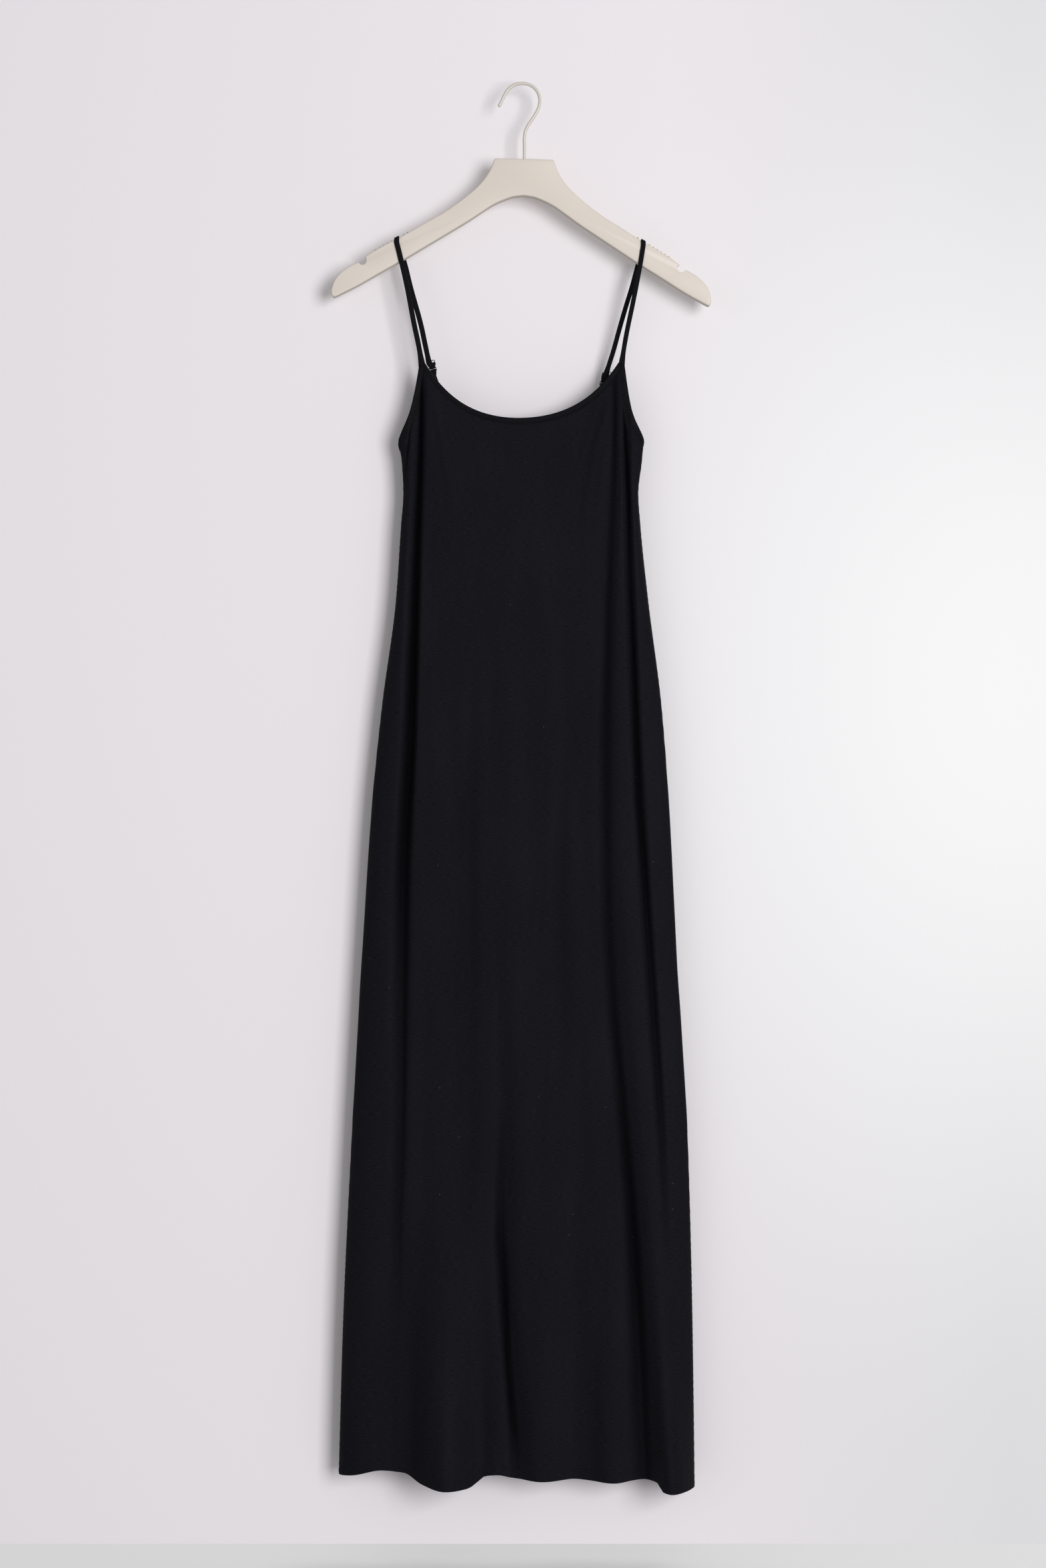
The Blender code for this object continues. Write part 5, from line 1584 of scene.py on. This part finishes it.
class GeometryTree(NodeTree):
    """A Geometry Nodes tree that repeats a small shape along stops or a line."""

    def __init__(self, name: str, sizes: dict[str, float]) -> None:
        """Start a tree with named inputs.

        Args:
            name: The tree's name.
            sizes: Each size's name and default, in metres or radians.
        """
        super().__init__(bpy.data.node_groups.new(name, "GeometryNodeTree"))
        self.sockets: dict[str, str] = {}
        face = self.tree.interface
        face.new_socket(name="Geometry", in_out="INPUT", socket_type="NodeSocketGeometry")
        for size, value in sizes.items():
            socket = face.new_socket(name=size, in_out="INPUT", socket_type="NodeSocketFloat")
            socket.default_value = value
            self.sockets[size] = socket.identifier
        seed = face.new_socket(name="Seed", in_out="INPUT", socket_type="NodeSocketInt")
        seed.default_value = 7
        finish = face.new_socket(name="Material", in_out="INPUT", socket_type="NodeSocketMaterial")
        self.sockets["Material"] = finish.identifier
        face.new_socket(name="Geometry", in_out="OUTPUT", socket_type="NodeSocketGeometry")
        self.start = self.tree.nodes.new("NodeGroupInput")
        self.end = self.tree.nodes.new("NodeGroupOutput")

    def given(self, name: str) -> Socket:
        """One of the tree's inputs."""
        return self.start.outputs[name]

    def close(self, instances: Socket) -> None:
        """Realize the instances, give them the material and end the tree."""
        real = self.add("GeometryNodeRealizeInstances", Geometry=instances)
        dressed = self.add("GeometryNodeSetMaterial", Geometry=real.outputs[0],
                           Material=self.given("Material"))
        smooth_faces = self.add("GeometryNodeSetShadeSmooth")
        self.tree.links.new(dressed.outputs[0], smooth_faces.inputs[0])
        self.tree.links.new(smooth_faces.outputs[0], self.end.inputs[0])

    def run(self, name: str, stops: Array, material: Material,
            sizes: dict[str, float] | None = None) -> Mesh:
        """Run the tree on a line of stops and return the plain mesh it makes.

        Args:
            name: The mesh's name.
            stops: Stops in millimetres, joined in order.
            material: The material for all of it.
            sizes: Sizes other than the tree's own.

        Returns:
            The mesh.
        """
        line = bpy.data.meshes.new(name)
        line.from_pydata((stops * MM).tolist(), [(n, n + 1) for n in range(len(stops) - 1)], [])
        carrier = show(bpy.data.objects.new(name, line))
        change = carrier.modifiers.new(name, "NODES")
        change.node_group = self.tree
        change[self.sockets["Material"]] = material
        for size, value in (sizes or {}).items():
            change[self.sockets[size]] = value
        mesh = evaluated(carrier)
        bpy.data.objects.remove(carrier, do_unlink=True)
        return mesh

    @classmethod
    def ribs(cls) -> "GeometryTree":
        """Lay a rounded rib across a strip at each stop.

        Returns:
            The tree.
        """
        made = cls("ribs_on_a_strip", {"Length": 0.006, "Half Width": 0.001, "Height": 0.0014, "Slope": 0.0})
        bar = made.add("GeometryNodeMeshCylinder", Vertices=20, Radius=1.0, Depth=1.0)
        size = made.add("ShaderNodeCombineXYZ", X=made.given("Half Width"), Y=made.given("Height"),
                        Z=made.given("Length"))
        shaped = made.add("GeometryNodeTransform", Geometry=bar.outputs[0], Scale=size.outputs[0])
        laid = made.add("GeometryNodeTransform", Geometry=shaped.outputs[0], Rotation=(QUARTER, 0, 0))
        turn = made.add("ShaderNodeCombineXYZ", Y=made.given("Slope"))
        turned = made.add("FunctionNodeEulerToRotation", Euler=turn.outputs[0])
        copies = made.add("GeometryNodeInstanceOnPoints", Points=made.given("Geometry"),
                          Instance=laid.outputs[0],
                          Rotation=turned.outputs[0])
        made.close(copies.outputs[0])
        return made

    @classmethod
    def stitches(cls) -> "GeometryTree":
        """Sew short round stitches along a line, each a little unlike the next.

        Returns:
            The tree.
        """
        made = cls("stitches_along_a_line", {"Pitch": 0.0025, "Length": 0.0019, "Thickness": 0.00034})
        line = made.add("GeometryNodeMeshToCurve", Mesh=made.given("Geometry"))
        even = made.add("GeometryNodeResampleCurve", {"mode": "LENGTH"}, Curve=line.outputs[0],
                        Length=made.given("Pitch"))
        bead = made.add("GeometryNodeMeshUVSphere", Segments=6, Rings=5, Radius=0.5)
        size = made.add("ShaderNodeCombineXYZ", X=made.given("Length"), Y=made.given("Thickness"),
                        Z=made.given("Thickness"))
        stitch = made.add("GeometryNodeTransform", Geometry=bead.outputs[0], Scale=size.outputs[0])
        tangent = made.add("GeometryNodeInputTangent")
        turned = made.add("FunctionNodeAlignRotationToVector", {"axis": "X"}, Vector=tangent.outputs[0])
        uneven = made.add("FunctionNodeRandomValue", {"data_type": "FLOAT"}, Seed=made.given("Seed"))
        uneven.inputs[2].default_value = 0.88
        uneven.inputs[3].default_value = 1.08
        copies = made.add("GeometryNodeInstanceOnPoints", Points=even.outputs[0], Instance=stitch.outputs[0],
                          Rotation=turned.outputs[0], Scale=uneven.outputs[1])
        made.close(copies.outputs[0])
        return made


# -------- straps and their fittings

@dataclass
class Strap:
    """A strap from its foot at the front over the hanger, down to its slide and ring at the back."""

    form: DressForm
    hanger: Hanger
    seam: Seam
    top: float
    front_run: Table
    back_run: Table
    # middle of the ring, the way down through it, and the same for the slide
    ring: Pair
    ring_way: Pair
    slide: Pair
    slide_way: Pair
    # how far the strap's returning layer lies to the right of the slide's middle, halfway up and at its end
    layer_shift: Pair
    width: float = 5.3
    gathered: float = 6.6
    thick: float = 1.4
    thin: float = 1.0
    front_plane: float = -7.2
    back_plane: float = 7.2
    lift: float = 1.1
    ring_plane: float = 8.6
    ring_half: Pair = (4.35, 3.0)
    ring_corners: Pair = (2.2, 0.9)
    slide_half: Pair = (4.25, 3.3)
    slide_corners: Pair = (1.3, 1.3)
    wire: float = 0.44
    leg: float = 1.4
    turn: float = 2.0
    tab_leg: float = 2.1
    tab_lap: float = 7.0
    foot_tuck: float = 7.0
    # stops along the strap's two runs, and the last of them below the hanger's edge
    front_pitch: float = 14.0
    back_pitch: float = 8.0
    top_gap: float = 4.0
    band_sides: int = 24
    ring_sides: int = 14
    slide_sides: int = 12

    @classmethod
    def left(cls, form: DressForm, hanger: Hanger) -> "Strap":
        """The strap on the viewer's left."""
        return cls(
            form, hanger, Seam.LEFT, STRAP_TOPS[Seam.LEFT],
            front_run=((-114.2, -288.3), (-118.9, -266.3), (-127.25, -222.2), (-135.3, -187.0)),
            back_run=((-131.9, -190.0), (-123.6, -222.2), (-111.8, -265.2), (-107.9, -283.6),
                      (-104.5, -299.3),
                      (-103.0, -305.2)),
            ring=(-99.3, -311.6), ring_way=(0.292, -0.957), slide=(-100.45, -305.2),
            slide_way=(0.292, -0.957),
            layer_shift=(0.3, 0.85), width=5.65)

    @classmethod
    def right(cls, form: DressForm, hanger: Hanger) -> "Strap":
        """The strap on the viewer's right."""
        return cls(
            form, hanger, Seam.RIGHT, STRAP_TOPS[Seam.RIGHT],
            front_run=((111.8, -288.3), (115.9, -266.3), (120.6, -244.2), (130.6, -191.0)),
            back_run=((128.8, -191.0), (120.4, -222.2), (113.6, -244.2), (107.2, -266.3), (99.8, -293.0),
                      (93.9, -311.5), (92.3, -317.0)),
            ring=(89.9, -327.6), ring_way=(-0.270, -0.963), slide=(93.6, -317.5), slide_way=(-0.120, -0.993),
            layer_shift=(-0.4, -2.0), width=5.2, ring_half=(4.9, 3.0))

    def spaced(self, route: Table, pitch: float) -> Array:
        """Space stops evenly along a smooth line.

        Args:
            route: Places across and up that the line runs through.
            pitch: The distance from stop to stop, before it is made to fit.

        Returns:
            The stops, across and up.
        """
        route = np.asarray(route, float)
        run = run_of(route)
        at = np.linspace(0, run[-1], max(3, int(round(run[-1] / pitch)) + 1))
        return np.stack([smooth(run, route[:, axis], at) for axis in (0, 1)], axis=1)

    def stops(self) -> Array:
        """Every stop of the strap.

        Returns:
            Rows of place, direction of the width, width and thickness.
        """
        outer, inner = self.form.foot_line(self.seam, Side.FRONT)
        ends, _ = self.form.round_seam(self.seam, np.array((outer[0], inner[0])),
                                       np.array((outer[1], inner[1])))
        left_end, right_end = ends if self.seam is Seam.LEFT else ends[::-1]
        foot, across = (left_end + right_end) / 2, left_end - right_end
        wide = float(np.linalg.norm(across))
        tucked = foot - (0, 0, self.foot_tuck)
        rows = [(*tucked, *across, wide - 1.8, self.thick * 0.7),
                (*(foot - (0, 0, 1.5)), *across, wide - 0.9, self.thick)]
        top, slope = self.hanger.top_at(self.top)
        run = self.spaced([(foot[0], foot[2]), *self.front_run, (self.top, top - self.top_gap)],
                          self.front_pitch)
        depth = np.linspace(foot[1], self.front_plane, 4)
        for n in range(1, len(run)):
            way = run[n] - run[n - 1]
            y = depth[n] if n < len(depth) else self.front_plane
            rows.append((run[n][0], y, run[n][1], -way[1], 0, way[0], self.width, self.thick))
        lift = self.lift * math.hypot(1, slope)
        over = ((self.front_plane, -1.2), (-6.9, 0.35), (-6.1, 1.0), (-4.6, lift), (0.0, lift),
                (4.6, lift), (6.1, 1.0), (6.9, 0.35), (self.back_plane, -1.2))
        rows += [(self.top, y, top + z, -1, 0, -slope, self.width, self.thick) for y, z in over]
        run = self.spaced([(self.top, top - self.top_gap), *self.back_run], self.back_pitch)
        for n in range(len(run)):
            step = (run[n] - run[n - 1]) if n else (run[1] - run[0])
            size = (self.gathered if n == len(run) - 1 else self.width,
                    self.thin if n > len(run) - 3 else self.thick)
            rows.append((run[n][0], self.back_plane, run[n][1], step[1], 0, -step[0], *size))
        way = np.array(self.ring_way)
        across = across_of(way)
        wire = np.array(self.ring) - way * (self.ring_half[1] - self.wire)
        bar = np.array(self.slide) + across * self.layer_shift[1]
        passage = [(wire + way * self.turn * math.sin(a), self.ring_plane - self.leg * math.cos(a))
                   for a in np.linspace(0, math.pi, 9)]
        passage += [((wire + bar) / 2 + across * self.layer_shift[0], self.ring_plane + self.leg),
                    (bar, self.ring_plane + self.leg), (bar - way * 0.9, self.ring_plane + self.leg)]
        for (x, z), y in passage:
            rows.append((x, y, z, way[1], 0, -way[0], self.bunched(), self.thin))
        return np.array(rows, float)

    def bunched(self) -> float:
        """Width of the cloth where it fills the ring."""
        return 2 * (self.ring_half[0] - 2 * self.wire) - 0.3

    def tab_stops(self) -> Array:
        """Every stop of the tab that holds the ring to the back's tip.

        Returns:
            Rows of place, direction of the width, width and thickness.
        """
        outer, inner = self.form.foot_line(self.seam, Side.BACK)
        middle = (outer + inner) / 2
        levels = middle[1] - np.array((self.tab_lap, self.tab_lap / 2, 0.5))
        places, facing = self.form.round_seam(self.seam, np.full(3, -middle[0]), levels)
        edges = [self.form.round_seam(self.seam, np.full(3, -middle[0] + d), levels)[0] for d in (-2.5, 2.5)]
        way = np.array(self.ring_way)
        across = np.array((way[1], 0, -way[0]))
        ways = edges[0] - edges[1]
        ways *= np.sign(ways @ across)[:, None]
        wire = np.array(self.ring) + way * (self.ring_half[1] - self.wire)
        wide = abs(float(outer[0] - inner[0])) - 0.8
        rows = [(*(places[n] + facing[n] * self.tab_leg), *ways[n], wide, self.thin) for n in range(3)]
        for a in np.linspace(0, math.pi, 9):
            x, z = wire - way * self.turn * math.sin(a)
            rows.append((x, self.ring_plane + self.leg * math.cos(a), z, *across, self.bunched(), self.thin))
        rows += [(*(places[n] - facing[n] * self.tab_leg), *ways[n], wide, self.thin) for n in (2, 1, 0)]
        return np.array(rows, float)

    def ribbon(self, name: str, stops: Array, material: Material, node: str) -> Piece:
        """Sweep a band with rounded edges and a shallow groove beside each.

        Args:
            name: The piece's name.
            stops: Rows of place, direction of the width, width and thickness.
            material: The band's finish.
            node: The solid that it replaces.

        Returns:
            The finished piece.
        """
        fine = flowing(np.concatenate((stops[:, :3], unit(stops[:, 3:6]), stops[:, 6:]), axis=1), 7)
        middle, way, wide, thick = fine[:, :3], unit(fine[:, 3:6]), fine[:, 6], fine[:, 7]
        along = unit(np.gradient(middle, axis=0))
        way = unit(way - along * np.sum(way * along, axis=1, keepdims=True))
        facing = np.cross(along, way)
        run = run_of(middle)
        angle = angles_round(self.band_sides)
        out = np.sign(np.cos(angle)) * np.abs(np.cos(angle)) ** 0.45
        lift = np.sign(np.sin(angle)) * np.abs(np.sin(angle)) ** 0.7
        crown = lift * (1 - 0.10 * bell(np.abs(out) - 0.62, 0.10))
        rings = (middle[:, None] + way[:, None] * (out[None, :] * wide[:, None] / 2)[..., None]
                 + facing[:, None] * (crown[None, :] * thick[:, None] / 2)[..., None])
        flat = np.stack(np.broadcast_arrays((out * self.width / 2)[None, :], run[:, None]), axis=-1)
        piece = keep_mesh(name, sleeve(name, rings, flat), material)
        return finish_piece(piece, "binding", node)

    def tube(self, path: Array, radius: float, around: int) -> tuple[Array, list[list[int]]]:
        """Close a wire on itself.

        Args:
            path: Places along the middle of the wire, once round.
            radius: The wire's radius.
            around: Points round the wire.

        Returns:
            The vertices and faces.
        """
        along = unit(np.roll(path, -1, axis=0) - np.roll(path, 1, axis=0))
        rings = hoops(path, along, radius, around)
        number = np.arange(len(path) * around).reshape(len(path), around)
        after, beside = np.roll(number, -1, axis=0), np.roll(number, -1, axis=1)
        faces = np.stack((number, beside, np.roll(after, -1, axis=1), after), axis=-1).reshape(-1, 4)
        return rings.reshape(-1, 3), faces.tolist()

    def frame(self, centre: Pair, way: Pair, half: Pair,
              corners: Pair) -> Array:
        """A closed path of wire, longer across than along, with round corners.

        Args:
            centre: Its middle, across and up.
            way: The way down through it.
            half: Half its outer width and height.
            corners: Radius of its upper and lower corners.

        Returns:
            Places along the middle of the wire.
        """
        down = np.array(way)
        across = across_of(way)
        half_wide, half_high = half[0] - self.wire, half[1] - self.wire
        path = []
        for right, low, start in ((1, 1, 0), (-1, 1, 90), (-1, -1, 180), (1, -1, 270)):
            corner = corners[1] if low > 0 else corners[0]
            for turn in np.radians(np.linspace(start, start + 90, 7)):
                x, z = (np.array(centre) + across * (right * (half_wide - corner) + corner * math.cos(turn))
                        + down * (low * (half_high - corner) + corner * math.sin(turn)))
                path.append((x, self.ring_plane, z))
        return np.array(path)

    def build_ring(self, material: Material) -> Piece:
        """Make the ring, flatter where the tab holds it."""
        path = self.frame(self.ring, self.ring_way, self.ring_half, self.ring_corners)
        name = "ring_" + self.seam.value
        piece = keep_mesh(name + "_fine", mesh_of(name, *self.tube(path, self.wire, self.ring_sides)),
                          material)
        return finish_piece(piece, "black_plastic", name)

    def build_slide(self, material: Material) -> Piece:
        """Make the slide: a round-edged frame with a bar across its middle.

        Args:
            material: The slide's finish.

        Returns:
            The finished piece.
        """
        path = self.frame(self.slide, self.slide_way, self.slide_half, self.slide_corners)
        sides = self.slide_sides
        places, faces = self.tube(path, self.wire, sides)
        way = np.array(self.slide_way)
        across = across_of(way)
        half_wide = self.slide_half[0] - self.wire
        angle = angles_round(sides)
        bar = []
        for along in (-half_wide, half_wide):
            x, z = np.array(self.slide) + across * along
            bar += [(x + way[0] * self.wire * math.sin(a), self.ring_plane + self.wire * math.cos(a),
                     z + way[1] * self.wire * math.sin(a)) for a in angle]
        first = len(places)
        near = [first + n for n in range(sides)]
        far = [number + sides for number in near]
        faces += [[near[n - 1], near[n], far[n], far[n - 1]] for n in (*range(1, sides), 0)]
        faces += [near, far]
        name = "slider_" + self.seam.value
        mesh = mesh_of(name, np.concatenate((places, np.array(bar))), faces)
        return finish_piece(keep_mesh(name + "_fine", mesh, material), "black_plastic", name)


# -------- room, light and camera

@dataclass
class Room:
    """A pale wall behind the dress, a pale floor, soft light from the right, and the camera."""

    wall_at: float = 28.0
    floor_at: float = -1614.0
    reach: float = 5200.0
    # the wall's colour, its darker colour on the right as painted shade, and its painted pool of light
    wall_colour: Colour = (0.830, 0.790, 0.820, 1.0)
    wall_painted_shade: Colour = (0.718, 0.714, 0.730, 1.0)
    wall_painted_light: Colour = (0.890, 0.890, 0.900, 1.0)
    floor_colour: Colour = (0.970, 0.960, 0.970, 1.0)
    air: Triple = (1.0, 1.0, 1.0)
    air_strength: float = 0.39
    eye: Triple = (0.4, -3200.0, -769.8)
    lens: float = 66.7

    def plane(self, name: str, corners: Sequence[Triple], material: Material) -> None:
        """Add a stage plane."""
        mesh = bpy.data.meshes.new(name)
        mesh.from_pydata([tuple(value * MM for value in corner) for corner in corners], [], [(0, 1, 2, 3)])
        keep_mesh(name, mesh, material)

    def lamp(self, name: str, place: Triple, aim: Triple,
             size: Pair, power: float) -> None:
        """Add a soft light.

        Args:
            name: Its name.
            place: Where it stands, in metres.
            aim: Where it points.
            size: Its size across and up.
            power: Its power in watts.
        """
        light = bpy.data.lights.new(name, "AREA")
        light.shape = "RECTANGLE"
        light.size, light.size_y = size
        light.energy = power
        lamp = show(bpy.data.objects.new(name, light))
        lamp.location = place
        lamp.rotation_euler = (Vector(aim) - Vector(place)).to_track_quat("-Z", "Y").to_euler()

    def build(self) -> None:
        """Make the wall, floor, lights and camera."""
        r, w, f = self.reach, self.wall_at, self.floor_at
        self.plane("wall", ((-r, w, f), (r, w, f), (r, w, f + 6000), (-r, w, f + 6000)),
                   WallFinish("pale_wall", self.wall_colour, self.wall_painted_shade, self.wall_painted_light).material())
        self.plane("floor", ((-r, -r, f), (r, -r, f), (r, w, f), (-r, w, f)),
                   WallFinish("pale_floor", *(self.floor_colour,) * 3).material())
        world = bpy.data.worlds.new("pale_air")
        world.use_nodes = True
        air = world.node_tree.nodes["Background"]
        air.inputs["Color"].default_value = (*self.air, 1.0)
        air.inputs["Strength"].default_value = self.air_strength
        bpy.context.scene.world = world
        bpy.context.scene.view_settings.view_transform = "Standard"
        self.lamp("key", (2.25, -4.40, -0.25), (0.0, 0.0, -0.85), (2.0, 2.6), 168.0)
        self.lamp("fill", (-2.6, -2.4, -0.2), (0.0, 0.0, -0.9), (2.2, 2.2), 7.0)
        self.lamp("from_behind", (1.2, 2.6, 0.9), (0.0, 0.0, -0.8), (2.0, 2.0), 42.0)
        view = bpy.data.cameras.new("camera")
        view.sensor_width = 36.0
        view.lens = self.lens
        view.clip_start = 0.05
        view.clip_end = 60.0
        camera = show(bpy.data.objects.new("camera", view))
        camera.location = tuple(value * MM for value in self.eye)
        camera.rotation_euler = (QUARTER, 0, 0)
        bpy.context.scene.camera = camera


# -------- the whole

@dataclass
class Dress:
    """The dress: panels, bindings, straps with their fittings, and the sewing."""

    form: DressForm
    hanger: Hanger
    jersey: Material
    band: Material
    plastic: Material
    thread: Material

    def build(self) -> None:
        panels = {Side.FRONT: Panel.front(self.form), Side.BACK: Panel.back(self.form)}
        cloth = {side: panel.build(self.jersey) for side, panel in panels.items()}
        binding = Binding(self.form)
        bands = {target: binding.build(target, self.band) for target in (*Side, *Seam)}
        straps = []
        for strap in (Strap.left(self.form, self.hanger), Strap.right(self.form, self.hanger)):
            seam = strap.seam.value
            straps.append(strap.ribbon("strap_band_" + seam, strap.stops(), self.band, "strap_" + seam))
            straps.append(strap.ribbon("tab_band_" + seam, strap.tab_stops(), self.band, "tab_" + seam))
            straps += [strap.build_slide(self.plastic), strap.build_ring(self.plastic)]
        sewing = self.sew(panels, binding)
        for side, panel in panels.items():
            flat, area = panel.cut_size()
            LOG.info("%s cut: %.3f by %.3f m, %.3f square metres", side.value, *flat, area)

    def sew(self, panels: dict[Side, Panel], binding: Binding) -> dict[Side, list[Piece]]:
        """Sew the hems and bindings down.

        Args:
            panels: The panels, for the lines of their hems.
            binding: The binding, for the lines of its stitches.

        Returns:
            The pieces of sewing on each panel.
        """
        stitches = GeometryTree.stitches()
        sewn: dict[Side, list[Piece]] = {side: [] for side in Side}
        for side, panel in panels.items():
            runs = {f"hem_stitches_{side.value}_{n}": panel.hem_path(row) for n,
                    row in enumerate(panel.stitch_rows, 1)}
            runs["neck_stitches_" + side.value] = binding.stitch_path(side)
            if side is Side.FRONT:
                runs |= {"armhole_stitches_" + seam.value: binding.stitch_path(seam) for seam in Seam}
            for name, path in runs.items():
                piece = keep_mesh(name, stitches.run(name, path, self.thread), self.thread)
                sewn[side].append(finish_piece(piece, "binding"))
        return sewn


def main() -> None:
    """Load the frame and build the hanger, the dress and the room."""
    logging.basicConfig(level=logging.INFO, format="%(name)s %(message)s")
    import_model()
    hanger = Hanger()
    paint = CREAM_PAINT.material()
    rubber = GRIP_RUBBER.material()
    hanger.build_plate(paint)
    hanger.build_hook(CREAM_WIRE.material())
    ribs = GeometryTree.ribs()
    for seam in Seam:
        hanger.build_grip(seam, ribs, rubber)
    Dress(DressForm(), hanger, JerseyFinish().material(), BandFinish().material(), BLACK_PLASTIC.material(),
          BLACK_THREAD.material()).build()
    Room().build()


if __name__ == "__main__":
    main()
